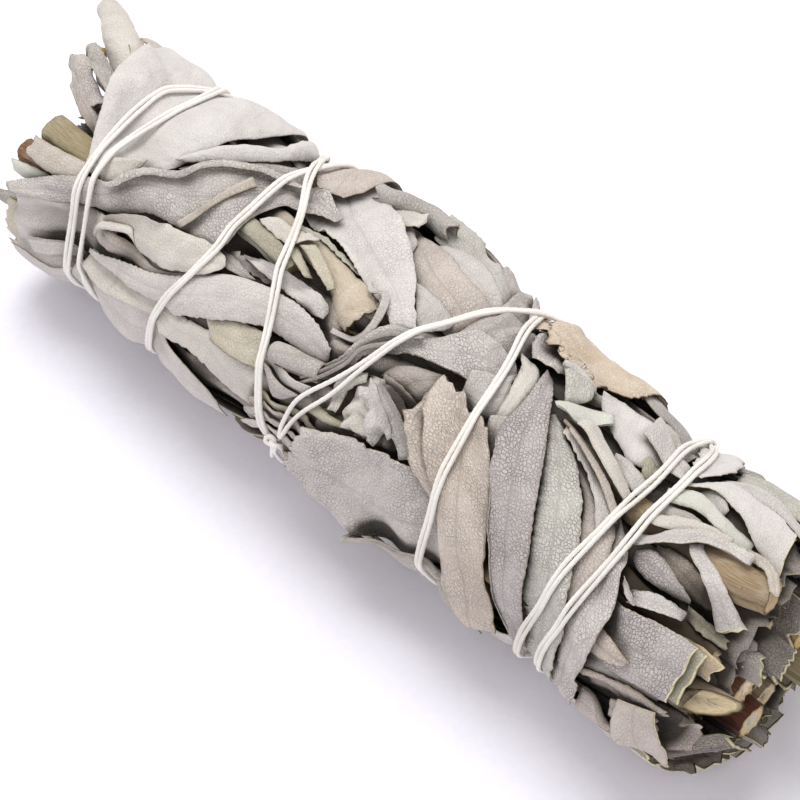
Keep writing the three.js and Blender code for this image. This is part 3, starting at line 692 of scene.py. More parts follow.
def front_left_leaves():
    """From the tip to the string's middle crossing, laid in the order in which they overlap."""
    leaf("silhouette_leaf", "grey", [(-27, -60), (-24.3, -32), (-23.9, -25), (-23, -22)],
         [(-18, -60), (-18.4, -32), (-19, -27), (-20, -21)], camber=0.3, wrinkle=0.25)
    leaf("far_side_leaf", "grey_green", [(-13, -68), (-8, -64), (-4, -60), (0, -56), (4, -52), (9, -48)],
         [(-9.6, -48), (-5.4, -46), (-1.4, -43), (1.5, -41), (4.3, -39), (8, -36)], camber=0.4, stiff=60)
    leaf("far_long_leaf", "pale",
         [(-9.6, -36), (-7.4, -45), (-1.6, -45), (1.5, -42), (4.3, -40), (8.4, -37)],
         [(-9, -33), (-5.6, -29), (-2.4, -26), (1, -25), (4, -26), (8.4, -28)], camber=0.5, stiff=60,
         lift_a=0.2)
    cad_leaf("slit_leaf", "pink",
             [(-11.5, -42), (-8.8, -41), (-6.6, -38), (-3.2, -33), (-0.5, -31), (2.6, -31), (5.6, -32),
              (9.5, -35)],
             [(-10.6, -27), (-8.4, -24), (-4.4, -14), (-2, -9), (1.1, -6), (3.5, -5), (5.9, -7),
              (9.5, -12)], camber=0.45, stiff=60, lift_b=0.3, fine=0.42)
    leaf("strip_beside_crossing", "pale", [(-18, -50), (-14.4, -45), (-11, -38), (-8.4, -31)],
         [(-17, -40), (-13, -32), (-10, -27), (-7.2, -22)], camber=0.5)
    leaf("curled_stub", "cream", [(-16, -47), (-13.4, -46), (-10.6, -43)],
         [(-15, -40), (-11.4, -33), (-9.6, -34)], camber=0.4, lift_end=0.8, wrinkle=0.3, ragged=0.4)
    leaf("wedge_leaf", "pale", [(-4.8, -13), (-2.1, -7), (0.2, 3)], [(2.7, -12), (3.4, -8), (1.6, 5)],
         camber=0.2, sink=0.4)
    cad_leaf("broad_crossing_leaf", "bright",
             [(-25, -18), (-18.5, -8), (-15.9, -6.5), (-14.1, -4), (-10.3, 1), (-7.5, 4), (-4.7, 7),
              (-2.6, 9), (-0.6, 13.4)],
             [(-24, -64), (-19, -52), (-15.4, -40), (-10.8, -30), (-7.4, -23), (-3.9, -13), (-1.0, -2),
              (0.4, 2), (1.3, 6.5)], stiff=90, camber=0.5, wrinkle=0.1, wrinkle_size=8, nibble=0.06,
             lift_b=0.3, fine=0.42)
    leaf("leaf_over_top", "pink", [(-32, -80), (-30, -62), (-27.4, -44), (-25, -31), (-21.8, -24)],
         [(-20.6, -80), (-19.8, -62), (-19.4, -48), (-19.2, -36), (-19.8, -26)], camber=0.4, stiff=60,
         wrinkle=0.1, fine=0.42, lift_b=0.2)
    leaf("curled_ribbon", "pale",
         [(-7.4, 1.5), (-5.4, 5.8), (-3.9, 3.2), (-2.4, 8), (-2.2, 16), (-3.2, 27), (-6.5, 31)],
         [(-7.2, 3.5), (-5.6, 8), (-4.2, 6), (-3.4, 9.5), (-3.3, 16), (-4.3, 25.5), (-6.6, 28.5)],
         lift_start=0.3, camber=0.3, midrib=0.0, nibble=0.03)
    cad_leaf("long_veined_leaf", "veined",
             [(-58.5, 73.5), (-50.5, 51), (-44.6, 38), (-41.2, 19), (-37, 8), (-31.4, -14), (-27.4, -25.5),
              (-22.6, -24.4), (-17.0, -17.2)],
             [(-56, 73), (-47, 59.5), (-41, 50), (-36.5, 39), (-31, 35.5), (-25.4, 29), (-25.2, 4),
              (-22.6, -11), (-17.4, -13.6)], stiff=70, camber=0.55, roll_a=(2.8, 0.85, 0.32, 0.9),
             midrib=0.15, fine=0.42, lift_b=0.35)
    leaf("thin_petiole", "beige", [(-29.0, -4), (-29.6, 8), (-30.4, 20), (-32.2, 34)],
         [(-27.9, -3), (-28.6, 9), (-29.5, 21), (-31.2, 35)], camber=0.5, midrib=0, thickness=0.5,
         nibble=0.03)
    leaf("leaf_under_loop", "pink", [(-44, 56), (-38, 60), (-32, 60), (-28, 52)],
         [(-44, 68), (-39, 71), (-33, 65), (-27, 58)], wrinkle=0.2, sink=0.2)
    leaf("low_left_leaf", "pale", [(-45, 88), (-39, 89), (-32, 85), (-25, 90), (-20, 98)],
         [(-48, 114), (-38, 117), (-28, 114), (-17, 110)], wrinkle=0.25, lift_a=0.3, stiff=60)
    cad_leaf("band_leaf", "cream",
             [(-43.5, 79.5), (-38, 76.5), (-32, 74), (-27, 72), (-20, 65.5), (-16.5, 67), (-11, 70)],
             [(-43.5, 86.5), (-39, 88), (-34, 83.5), (-27, 85), (-20, 82), (-15.5, 90), (-11, 94)],
             wrinkle=0.22, lift_b=0.5, nibble=0.12, stiff=60)
    leaf("olive_leaf", "straw", [(-22, 61), (-17.5, 53), (-14.5, 51.5), (-13.2, 55)],
         [(-19.5, 66.5), (-17, 68), (-13, 68.5), (-11.6, 66)], camber=0.2, roll_b=(0.5, 0.3))
    cad_leaf("blunt_leaf", "pale",
             [(-43.5, 78), (-38.5, 70.5), (-31, 60), (-25.5, 46), (-21, 36.5), (-15.5, 30.8), (-9, 30.8),
              (-5.2, 36.5)],
             [(-43.4, 79.5), (-37, 76), (-28, 73), (-24.5, 66.5), (-20, 57.5), (-15.5, 49.5), (-10.5, 47.2),
              (-5.2, 45.5)], stiff=90, camber=0.55, wrinkle=0.1, wrinkle_size=7, nibble=0.08, lift_b=0.25,
             fine=0.42)
    cad_leaf("looped_leaf", "cream",
             [(-42.6, 53), (-39.5, 44.5), (-36, 38.3), (-31, 36), (-27.5, 32.4), (-24.4, 33), (-23.3, 36)],
             [(-41.5, 67), (-39, 62.5), (-36, 58.8), (-31.5, 57), (-27.2, 50), (-25, 45.5), (-23.4, 38.5)],
             stiff=60, camber=0.5, roll_b=(2.6, 0.75, 0.0, 0.32), roll_a=(1.0, 0.45, 0.0, 0.5), fine=0.42)


def centre_leaves():
    """Round and below the string's middle crossing."""
    leaf("streaked_top_leaf", "dull", [(1.5, -70), (4.6, -35), (4.8, -21), (4.6, -1)],
         [(13.5, -70), (12.5, -40), (11.2, -23), (10.4, -10)], wrinkle=0.3, wrinkle_size=2.4, camber=1.1,
         stiff=60)
    leaf("ribbed_small_leaf", "pink", [(1.3, 33), (2, 25), (4.3, 19), (8, 14)],
         [(7.6, 34), (8.4, 27), (8.8, 20), (8.9, 15)], camber=0.35, wrinkle=0.15, lift_start=0.3)
    cad_leaf("petiole_leaf", "veined",
             [(-7.2, 54.5), (-5.2, 45), (-3.4, 35), (-2.8, 26), (-1.2, 14), (2.6, 5), (6.2, -5),
              (11.6, -16)],
             [(-6, 57.5), (-3.9, 49), (-2, 38), (-1.1, 28), (2, 19), (8, 13.6), (12, 7), (15, -6)],
             stiff=60, camber=0.5, midrib=0.2, roll_b=(0.9, 0.4, 0.45, 0.8), fine=0.42)
    leaf("petiole_rib_high", "grey",
         [(-6.6, 55.0), (-4.6, 45.8), (-2.8, 36), (-2.1, 26.4), (-0.4, 15.6), (3, 8)],
         [(-6.4, 55.8), (-4.3, 46.8), (-2.5, 36.8), (-1.8, 26.9), (0.1, 16.6), (3.6, 9)], camber=0.6,
         midrib=0, nibble=0)
    leaf("petiole_rib_low", "grey", [(-6.2, 56.4), (-4.2, 47.6), (-2.4, 37.2), (-1.6, 27.2), (0.8, 17.4)],
         [(-6.0, 57.2), (-3.9, 48.6), (-2.1, 38.0), (-1.2, 27.8), (1.4, 18.2)], camber=0.6, midrib=0,
         nibble=0)
    leaf("flat_strip", "pale", [(-14, 56.5), (-9.5, 57), (-4.8, 56)], [(-12.5, 61), (-9, 63.5), (-4.8, 62)],
         camber=0.3)
    leaf("triangle_leaf", "dull", [(-12.4, 60.5), (-9, 62), (-5.6, 62.5)],
         [(-11, 69), (-10, 73.5), (-7.6, 70)], camber=0.2, lift_end=0.3)
    strips = ((73, 79, "olive"), (78, 84, "pink"), (83, 91, "dull"), (90, 97, "pale"))
    for k, (top, low, shade) in enumerate(strips):
        leaf(f"crossing_strip_{k}", shade, [(-12.5, top + 2), (-7, top), (-1, top - 2)],
             [(-12, low + 3), (-7, low + 1), (-1.5, low - 3)], camber=0.4, wrinkle=0.2, nibble=0.1)
    leaf("ribbed_petiole", "olive", [(-4, 62), (1, 60.2), (7, 55.5), (14, 51)],
         [(-4, 68), (1, 63), (7, 57.5), (14, 53)], camber=0.6, midrib=0, thickness=0.5, nibble=0.02)
    leaf("under_crinkled_leaf", "dull", [(2, 30), (6, 31), (10, 38), (12.4, 47)],
         [(3, 62), (6, 60), (9.4, 58), (12, 54)], wrinkle=0.3, wrinkle_size=2.2)
    cad_leaf("crinkled_leaf", "cream", [(-0.4, 38), (1.0, 33.4), (4, 33), (7.4, 38), (10.6, 47.6)],
             [(0.9, 58), (2.4, 60.5), (5.2, 59.5), (8, 57), (10.8, 53.2)], wrinkle=0.5, wrinkle_size=1.7,
             stiff=40, camber=0.8, roll_a=(0.6, 0.4, 0.0, 0.4), nibble=0.1, fine=0.45)
    leaf("ring_curl", "grey_green", [(0.4, 34.6), (-1.4, 40), (-2.6, 49), (-1.4, 59)],
         [(1.6, 38), (0.2, 42.4), (-0.8, 50), (0.0, 57.4)], camber=0.7, midrib=0, thickness=0.45,
         lift_end=0.2)
    leaf("crinkled_tear", "pale", [(2.8, 35.5), (5.2, 37), (6.8, 42), (8.4, 48)],
         [(1.8, 41), (3.6, 46), (4.6, 51), (6.4, 56)], wrinkle=0.5, wrinkle_size=1.3, ragged=0.5,
         nibble=0.15, ragged_start=0.4, thickness=0.4)
    leaf("crinkled_fold", "grey", [(4.2, 31.4), (7.6, 36), (10.6, 42.6), (12.6, 49.6)],
         [(4.0, 37), (6.4, 42), (8.6, 48), (10.4, 55)], roll_a=(0.8, 0.4), roll_b=(0.7, 0.35), camber=0.8,
         wrinkle=0.25, wrinkle_size=1.8)
    leaf("tan_low_leaf", "tan", [(-7.0, 102), (-3, 101), (2, 104), (6, 108)],
         [(-6.4, 121), (-3, 122), (2, 128), (6, 134)], ragged_start=0.5, ragged=0.5, wrinkle=0.3,
         wrinkle_size=3, lift_end=0.4, thickness=0.6, camber=0.5)
    cad_leaf("wide_low_leaf", "veined", [(-3, 72), (0, 66.5), (4.5, 60), (9, 55.8), (14, 52.5), (18, 54)],
             [(-5.5, 104), (-2.5, 108), (3, 112), (9, 114), (15, 110), (20, 98)], stiff=80,
             ragged_start=0.35, wrinkle=0.22, wrinkle_size=5, camber=0.3, fine=0.42)
    leaf("low_centre_leaf", "dull", [(6, 104), (12, 96), (20, 92)], [(4, 124), (14, 122), (26, 114)],
         wrinkle=0.3, roll_a=(1.4, 0.5))


def fan_leaves():
    """The long leaves that fan out on the front, between the crossing and the cut end."""
    leaf("small_pale_leaf", "pale", [(10.2, 6), (12, 0), (13.6, -8)], [(10.8, 19), (14, 19.5), (16, 12)],
         camber=0.2, sink=0.2)
    leaf("narrow_fold_leaf", "cream", [(11.2, -23), (13.6, -9), (14.9, 4), (15.7, 19)],
         [(14.8, -19), (16.6, -9), (17.3, 4), (17.5, 19)], camber=0.5, roll_a=(0.7, 0.35, 0.2, 1.0))
    leaf("scalloped_fold", "dull", [(15.6, 17), (16.5, 24), (18.3, 30), (20.3, 36)],
         [(17.7, 12), (18.6, 20), (20.2, 28), (22.0, 35)], nibble=0.14, camber=0.3, lift_a=0.2)
    leaf("under_fan_strip", "pink", [(20.4, 38), (23, 56), (26, 78), (28.5, 98)],
         [(22.6, 38), (25.2, 56), (27.8, 76), (30, 96)], camber=0.2, sink=1.0)
    leaf("tan_under_layer", "tan", [(7.4, 26), (8.5, 36), (11.5, 49), (15.5, 66), (20, 90), (22, 104)],
         [(11, 24), (12, 36), (15, 50), (19, 66), (23.5, 90), (25, 104)], ragged_start=0.5, nibble=0.12)
    cad_leaf("ragged_tan_leaf", "tan",
             [(8.4, 17), (8.6, 27), (11.6, 40), (15.2, 56), (18, 72), (20.8, 88), (23, 108)],
             [(16, 19.5), (18.2, 27), (20.6, 37), (22.8, 52), (24.8, 68), (26.8, 86), (28, 108)], stiff=90,
             ragged_start=0.55, camber=0.35, wrinkle=0.12, lift_start=0.4, nibble=0.08, midrib=0.2,
             fine=0.42, lift_b=0.3)
    leaf("broad_cut_side_leaf", "veined",
         [(33.5, 12), (35, 36), (36, 55), (36.5, 72), (36.2, 90), (35.2, 112)],
         [(35.5, 18), (38.8, 29.5), (41.3, 45), (42, 58), (41.6, 76), (40, 110)], node="long_cross_leaf",
         stiff=80, camber=0.35, midrib=0.2, nibble=0.05, lift_b=0.35, fine=0.42)
    leaf("lavender_side_leaf", "pink", [(22, 1), (27, 11), (31, 22), (33.4, 38), (35, 60)],
         [(24.6, 3), (30, 11.5), (35, 20.5), (37.8, 40), (37.4, 62)], camber=0.3, nibble=0.07)
    cad_leaf("green_fan_leaf", "veined_green",
             [(19.6, -1), (23, 12), (26, 30), (29, 50), (30.6, 70), (31.5, 90), (31, 110)],
             [(21.4, -1.5), (28, 12.5), (32, 26.5), (34.6, 42), (36.6, 60), (37.4, 82), (36.4, 110)],
             stiff=80, camber=0.4, nibble=0.12, midrib=0.2, lift_b=0.2, fine=0.42)
    cad_leaf("scalloped_leaf", "pale", [(23.6, 1.2), (28, 4.6), (31, 10), (35, 19)],
             [(24, 5), (28.6, 11), (32, 19), (34.8, 30)], nibble=0.13, camber=0.25)
    leaf("brown_strip_1", "brown", [(23, 0.2), (27, 2.6), (31, 5.6), (35.2, 9)],
         [(23.2, 1.8), (27, 4.4), (31, 8), (35.2, 11)], camber=0.3, midrib=0, nibble=0.03)
    leaf("brown_strip_2", "pink", [(24.5, 2.6), (28.6, 5.6), (32, 10), (35.4, 17)],
         [(24.6, 4), (28.4, 8), (31.6, 13), (35, 20.5)], camber=0.3, midrib=0, nibble=0.04)
    cad_leaf("veined_fan_leaf", "purple",
             [(15.6, -20), (16.8, -8), (17.5, 3), (18, 18), (20.2, 34), (23, 54), (26.4, 76), (29, 100),
              (30, 112)],
             [(16.6, -20), (18.8, -10), (21, 1), (24.4, 17), (27.6, 37), (30, 53), (31.4, 72), (32, 92),
              (32, 112)], stiff=90, camber=0.55, roll_a=(1.1, 0.42, 0.42, 0.95), wrinkle=0.1, midrib=0.22,
             nibble=0.05, lift_b=0.3, fine=0.42)


def top_right_leaves():
    """Along the top, from the crossing to the cut end."""
    leaf("far_filling_leaf", "veined", [(1.5, -78), (4, -62), (7, -46)],
         [(11.5, -78), (11.5, -60), (11, -48)], camber=0.7, stiff=60)
    leaf("far_side_strip", "grey", [(20, -74), (26, -66), (31, -60), (37, -54)],
         [(21, -52), (26, -47), (31, -44), (37, -42)], camber=0.3, stiff=60)
    leaf("long_top_strip", "green", [(17.5, -30), (21, -32), (24.6, -38), (28.5, -42), (34.5, -41)],
         [(18.5, -22), (22, -23), (26.4, -28), (30, -29), (34.5, -31)], camber=0.6, stiff=70, fine=0.42)
    leaf("pale_under_torn", "veined", [(9.6, -44), (11.0, -31), (13.4, -19)],
         [(17.3, -44), (17.6, -31), (17.0, -20)], stiff=80, camber=0.3, nibble=0.1)
    leaf("torn_scraps", "torn_tan", [(7.4, -58), (8.0, -48), (9.2, -39)],
         [(13.6, -56), (13.6, -47), (13.8, -40)], ragged=0.3, ragged_start=0.2, nibble=0.2, camber=0.15,
         stiff=10)
    cad_leaf("torn_brown_leaf", "torn_tan", [(7.6, -82), (8.6, -62), (9.8, -46), (11.6, -36), (13.8, -27)],
             [(24.6, -82), (24.8, -62), (24.6, -50), (23.8, -41), (20, -31)], ragged=0.7, wrinkle=0.12,
             wrinkle_size=3.4, nibble=0.25, lift_end=0.2, stiff=60, fine=0.42)
    leaf("crumpled_top_1", "pale", [(16.5, -25), (18.8, -28), (21.3, -26)],
         [(16.8, -22), (19.2, -21), (22.6, -22)], wrinkle=0.35, roll_b=(0.6, 0.3))
    cad_leaf("folded_top_leaf", "grey_green", [(17.2, -20), (18.7, -16), (20.4, -9)],
             [(21.7, -22), (22.5, -18), (21, -12)], wrinkle=0.25, camber=0.3, roll_a=(0.6, 0.3))
    cad_leaf("whitish_top_leaf", "white", [(22.6, -24), (25, -30.5), (28.5, -32), (32, -30.5), (33.8, -23)],
             [(24.2, -20), (26.4, -15.2), (29, -11), (31.2, -7.2), (33.6, -14)], stiff=70, camber=0.4,
             nibble=0.08, roll_a=(0.5, 0.3))
    leaf("mint_piece", "mint", [(25.6, -20), (22.8, -15.5), (21.2, -10), (20.3, -4.4)],
         [(26.9, -14), (25.4, -6), (24.2, -0.5), (21.6, -1)], camber=0.7, nibble=0.02, midrib=0.0,
         roll_b=(0.7, 0.35))
    leaf("olive_nook", "olive", [(31.6, -16), (32.2, -11), (33, -7)],
         [(34.6, -17), (34.8, -12), (34.8, -7)], sink=0.5)
    leaf("small_end_leaf", "pale", [(29.4, -5.4), (32, -6.6), (34.8, -6)], [(30, -0.5), (32.5, 3), (35, 4)],
         camber=0.3, lift_b=0.2)
    leaf("hooked_strip", "cream", [(24.6, -4.2), (26.2, -6.6), (28.2, -4), (31.2, 1), (34.6, 6.4)],
         [(24.9, 0.6), (26.2, 0.6), (28.3, 4), (31.4, 8), (34.6, 11)], camber=0.95, midrib=0.0, nibble=0.02,
         thickness=0.5, lift_start=0.3)
    leaf("leaf_under_turn", "pale", [(28.8, -36), (32, -32), (36, -27)], [(30, -19), (33, -18), (37, -14)],
         camber=0.4, stiff=60)
    cad_leaf("edge_top_leaf", "white", [(30.5, -80), (32, -58), (34.4, -42), (35.6, -30), (36.8, -20)],
             [(36.0, -80), (37.4, -58), (39.4, -43), (39.9, -31), (38.4, -19)], stiff=90, nibble=0.2,
             camber=0.7, lift_b=0.2)


def cut_end_leaves():
    """The leaves that end at the cut, with their blunt pale ends."""
    leaf("brown_inner_leaf", "brown", [(40.5, 17), (43.4, 14.6), (46.5, 16.4), (50.2, 23)],
         [(41, 21), (44.6, 25), (47.6, 26), (50.2, 24.4)], wrinkle=0.25)
    leaf("purple_inner_leaf", "purple", [(38.8, 24), (40.4, 20), (43, 21), (47.4, 27)],
         [(39, 28.6), (41, 31.4), (44.4, 31.4), (47.4, 28.6)], camber=0.35)
    leaf("olive_cut_leaf", "olive", [(47.6, 29.6), (50, 29.8), (53, 30.8)],
         [(47.8, 34.6), (50, 36), (53, 36.4)], camber=0.2, ragged=0.3)
    leaf("rolled_cut_strip", "pale", [(41.6, 37), (44.4, 31.5), (48.2, 30.4)],
         [(42.2, 46), (45.2, 42), (48.2, 38.4)], camber=0.9, roll_a=(0.9, 0.42), roll_b=(0.9, 0.42),
         thickness=0.4)
    leaf("small_curled_tip", "pale", [(40.2, 35), (42, 37.5), (43.6, 41)],
         [(40.6, 39), (41.8, 41.6), (43.2, 43)], roll_a=(0.6, 0.3), camber=0.4)
    leaf("grey_under_cut", "grey", [(40.8, 69), (44.5, 67.5), (51, 66.5)],
         [(40.8, 82), (44.5, 77), (50.5, 71.5)], camber=0.2)
    leaf("folded_end_leaf", "pinkish_brown", [(47, 80), (51.6, 78), (54.6, 72)],
         [(46, 104), (51.4, 106), (54.8, 100)], ragged=0.3, wrinkle=0.2, fold=0.18, lift_end=0.3)
    cad_leaf("cut_leaf_pinkish", "pinkish_brown", [(40.6, 80), (43.5, 77), (47.4, 72.4), (52.2, 70.4)],
             [(41, 99), (44.4, 97), (48.4, 92), (52.0, 76)], ragged=0.25, wrinkle=0.2, lift_end=0.3)
    leaf("pinkish_leaf_2", "pinkish_brown", [(45.2, 87), (48.6, 82), (51.8, 76.4)],
         [(45.4, 97), (49.0, 95.5), (51.6, 88)], ragged=0.25, camber=0.25, lift_b=0.3)
    leaf("pinkish_leaf_3", "pink", [(40.5, 99), (44, 96), (47.6, 95)], [(40, 118), (44, 118), (48, 114)],
         ragged=0.3, wrinkle=0.25, roll_a=(0.9, 0.4))
    leaf("triangular_flap", "pink", [(51.4, 72), (52.6, 86), (52.6, 102), (52.2, 123)],
         [(46.6, 80), (46.8, 92), (49.4, 108), (52.0, 123.2)], camber=0.25, lift_end=1.0, wrinkle=0.12,
         midrib=0.1, nibble=0.04, thickness=0.45, edge="cut_edge")
    leaf("tan_end_piece", "bract", [(49.5, 41), (52.4, 39.6), (54.7, 41.0)],
         [(49.5, 54), (51.8, 53), (53.8, 51)], camber=0.3, ragged=0.2, edge="cut_edge")
    leaf("green_cut_layer", "olive", [(46, 44), (49, 42), (52.9, 40.6)], [(46, 67), (49, 67), (52.9, 65.4)],
         ragged=0.15, thickness=0.6, edge="cut_edge")
    cad_leaf("cut_leaf_square", "purple", [(36, 50), (41, 47), (44.4, 44), (48.2, 41), (52, 39.8)],
             [(36, 62), (41, 66), (44, 71.5), (48.8, 67), (52.2, 65)], stiff=60, camber=0.35, ragged=0.12,
             nibble=0.05, fine=0.42, lift_end=0.1, thickness=0.5, edge="cut_edge")
    leaf("folded_square_lip", "pinkish_brown", [(39.8, 58), (43.4, 58.6), (46.6, 60)],
         [(40, 69), (43.2, 69), (46.4, 62.6)], camber=0.3, roll_b=(0.6, 0.35))
    leaf("upper_dull_strip", "dull", [(37.6, -1.6), (42, -1.4), (46.2, 0.4)],
         [(37.6, 9.8), (42, 8), (45.6, 3.2)], wrinkle=0.2)
    cad_leaf("cut_leaf_ruffled", "pale", [(44.9, 7), (46.2, 10), (48, 12), (50.5, 16), (54, 22)],
             [(43.8, 11), (44.8, 14), (47.1, 17.6), (49.3, 22.6), (51.4, 32)], camber=0.5, ragged=0.25,
             midrib=0.1, edge="cut_edge")
    leaf("top_strip_far", "green", [(39, -52), (43, -57), (47, -54), (53.5, -50)],
         [(40, -40), (43, -41), (47.5, -42), (53, -40)], camber=0.4, ragged=0.4)
    leaf("top_strip_near", "pale", [(39.4, -30), (42, -38), (45.4, -39.5), (49, -38), (53, -36)],
         [(40.8, -25), (44, -27), (47.4, -29), (50.6, -28), (53, -27)], camber=0.45, ragged=0.3)
    leaf("oval_leaf", "pale", [(38.4, -16), (40, -22), (41.8, -20), (43.4, -15.6)],
         [(39, -12), (40.6, -11), (42.1, -11), (43.3, -12)], camber=0.3)
    leaf("upper_strip", "mint",
         [(36.6, -8), (38.6, -15), (40.8, -13), (43.2, -10.8), (45.6, -10.6), (48.2, -11)],
         [(37.4, -1), (40.5, -3), (42.4, -3.4), (44.6, -2), (46.7, -2), (48.6, -3)], camber=0.5,
         midrib=0.05, nibble=0.04, thickness=0.42)
    leaf("thin_end_strip", "beige", [(48.6, -5), (51, -4.4), (53.4, 0), (55, 5)],
         [(48.6, 0), (51, 1), (53, 4), (54.4, 9)], camber=0.4, ragged=0.3)
    leaf("upper_band", "cream", [(37.6, 7), (40.4, 4), (42.4, 1.8), (44.4, -0.4), (47, -1.6)],
         [(38, 12), (41.1, 10.5), (43.1, 7.2), (44.8, 4.4), (47.2, 2)], camber=0.4, midrib=0.0)
    cad_leaf("cut_leaf_curved", "pale",
             [(38.2, 17.5), (40.2, 14), (42.5, 8.6), (44.2, 4), (46.4, 1.4), (50.2, -1)],
             [(38.5, 24.5), (40.6, 19), (43.2, 14.6), (44.9, 10), (46.9, 7), (50.7, 5)], camber=0.6,
             midrib=0.1, thickness=0.42, roll_b=(0.6, 0.35))
    cad_leaf("cut_leaf_whitish", "white",
             [(37.4, -17), (39.8, -24.5), (41.8, -27), (44.8, -26.6), (47.6, -27.4), (50.8, -24.5)],
             [(38, -13.4), (40.6, -18), (43.2, -17), (45.8, -14), (48.2, -9.5), (52.4, -7)], stiff=60,
             camber=0.5, ragged=0.16, nibble=0.08, fine=0.42, midrib=0.05, edge="cut_edge")
    for k in range(26):
        around = 360 * k / 26 + random.uniform(-4, 4)
        if not 118 < around < 296:
            continue
        start, end = random.uniform(38, 44), random.uniform(50.5, 54.5) - (2.5 if around < 150 else 0)
        spine = [(start, around - 3), ((start + end) / 2, around), (end, around + random.uniform(-4, 4))]
        # The darker olive and shaded colours here are painted shade.
        lance(f"end_ruffle_{k}", ("shaded_olive", "shaded", "dull", "brown")[k % 4], spine,
              random.uniform(5, 8), cut=True, ragged=0.3, ruffle=0.25, sink=1.2 + 0.8 * (k % 3), fine=0.5,
              thickness=0.5)


def end_layers():
    """Leaves close round the main stems, whose cut ends show between the stems."""
    # The shaded and darker olive kinds here are painted shade, as these leaves lie deep between the stems.
    for name, kind, spine, width in (
            ("grey_end_leaf", "grey", [(38, 150), (50, 153), (57.6, 160)], 7),
            ("green_end_leaf", "shaded_olive", [(38, 84), (46, 80), (52.5, 76)], 6),
            ("olive_end_leaf", "shaded", [(38, 24), (50, 22), (58.4, 19)], 7.5),
            ("dull_end_leaf", "dull", [(38, 44), (50, 40), (56.8, 35)], 6.0),
            ("green_end_leaf_high", "shaded_olive", [(38, -10), (48, -6), (53.0, -2)], 7),
            ("far_end_leaf", "shaded", [(38, -44), (48, -40), (53, -38)], 7),
            ("low_end_leaf", "shaded_olive", [(38, 146), (48, 142), (54, 138)], 8)):
        lance(name, kind, spine, width, cut=True, ragged=0.25, ruffle=0.25, wrinkle=0.2, outer=False,
              fine=0.5, thickness=0.6)


MAIN_STEMS = (       # name, around, distance from the axis, diameter, from, to, kind, hollow pith
    ("main_stem_woody", 124, 5.9, 4.4, -38, 56.4, "bark", 0.2),
    ("main_stem_front", 64, 5.6, 4.2, -44, 55.2, "brown_stem", 0.3),
    ("main_stem_upper", 4, 5.6, 4.0, -40, 53.0, "stem", 0.2),
    ("main_stem_rear", -62, 5.6, 4.2, -46, 55.2, "golden_stem", 0.5),
    ("main_stem_low_rear", -122, 5.7, 4.4, -36, 60.6, "olive_stem", 0.2),
    ("main_stem_low", 180, 5.7, 4.0, -42, 54.5, "stem", 0.6),
)


INNER_START = 34          # mm from the middle crossing, where the leaves between the stems begin
NARROWEST = 2.0           # mm, standing leaves turn no more than they would this far from the axis


def stem_line(around, distance, along):
    """The slightly wavy middle line of a main stem, in metres."""
    path = place(along, np.full(along.shape, around), np.full(along.shape, distance))
    path[..., 1] += 0.22 * MM * np.sin(along * 0.05 + around)
    path[..., 2] += 0.22 * MM * np.sin(along * 0.04 + 2 * around)
    return path


def main_stems():
    """The six stems down the middle of the bunch, thickest where they were cut."""
    for name, around, distance, diameter, start, end, kind, hollow in MAIN_STEMS:
        path = stem_line(around, distance, np.linspace(start, end, 80))
        part = stem_part(path, (diameter * 0.62, diameter), nodes=(0.91,), hollow=hollow)
        stems.append(Stem(name, name, kind, part))


def cut_blade(rows=34):
    """Shares along a leaf with a blunt cut end, and how thick it is there."""
    share = np.append(np.linspace(0, 0.988, rows - 1), 1)[:, None]
    return share, LEAF_THICKNESS * (1 + 0.9 * share ** 12)


def sheet_part(low, high, across, lengthwise, cut=False):
    """A closed thin leaf between two grids of points in metres."""
    rows, columns = low.shape[:2]
    margin = np.minimum(np.minimum(across - across[:, :1], across[:, -1:] - across), MARGIN_LIMIT)
    uv = np.stack([across - across.mean(), lengthwise], -1)
    blank = np.zeros((rows, columns, 2))
    _, _, faces, uv, margin, kind = slab(blank, blank[..., 0], blank[..., 0], uv, margin, cut)
    points = np.concatenate([low.reshape(-1, 3), high.reshape(-1, 3)])
    return points, faces, uv, margin, kind


loose_ends = []


def clasping_leaves():
    """Crumpled leaves folded round the main stems, which show at the cut end."""
    for name, around, distance, diameter, _, stem_end, _, _ in MAIN_STEMS:
        for layer in range(3):
            span = random.uniform(110, 190) * DEGREE
            turn = random.uniform(0, 2 * math.pi)
            end = stem_end - random.uniform(1.5, 5.0)
            if around == 124:         # these two stems show more of their ends
                turn, end = math.pi * 0.55 + layer, stem_end - random.uniform(5, 7.5)
            if around == -62:
                end = stem_end - random.uniform(2.5, 5)
            end = min(end, 55.0)
            share, thickness = cut_blade()
            angle = turn + span * np.linspace(-0.5, 0.5, 26)[None, :]
            curl = diameter / 2 + 0.3 + 0.5 * layer
            across = angle * curl
            along = INNER_START + (end - INNER_START) * share
            along = along + 0.5 * waves(across, 0 * share, 1.9, 4) * share ** 4
            ripple = 0.22 * (1 + waves(across, along * 0.25, 2.4)) * (0.4 + 0.6 * share)
            centre = stem_line(around, distance, along)
            direction = np.stack([0 * angle, np.cos(angle), np.sin(angle)], -1)
            low = centre + direction * (curl + ripple)[..., None] * MM
            high = centre + direction * (curl + ripple + thickness)[..., None] * MM
            part = sheet_part(low, high, across + 0 * share, along, cut=True)
            kind = ("shaded", "dull", "brown")[layer]
            # Painted shade: darker further in from the cut end.
            depth = both_faces(0.2 * (end - along))
            loose_ends.append((f"{name}_leaf_{layer}", None, kind, part, depth, "cut_edge"))


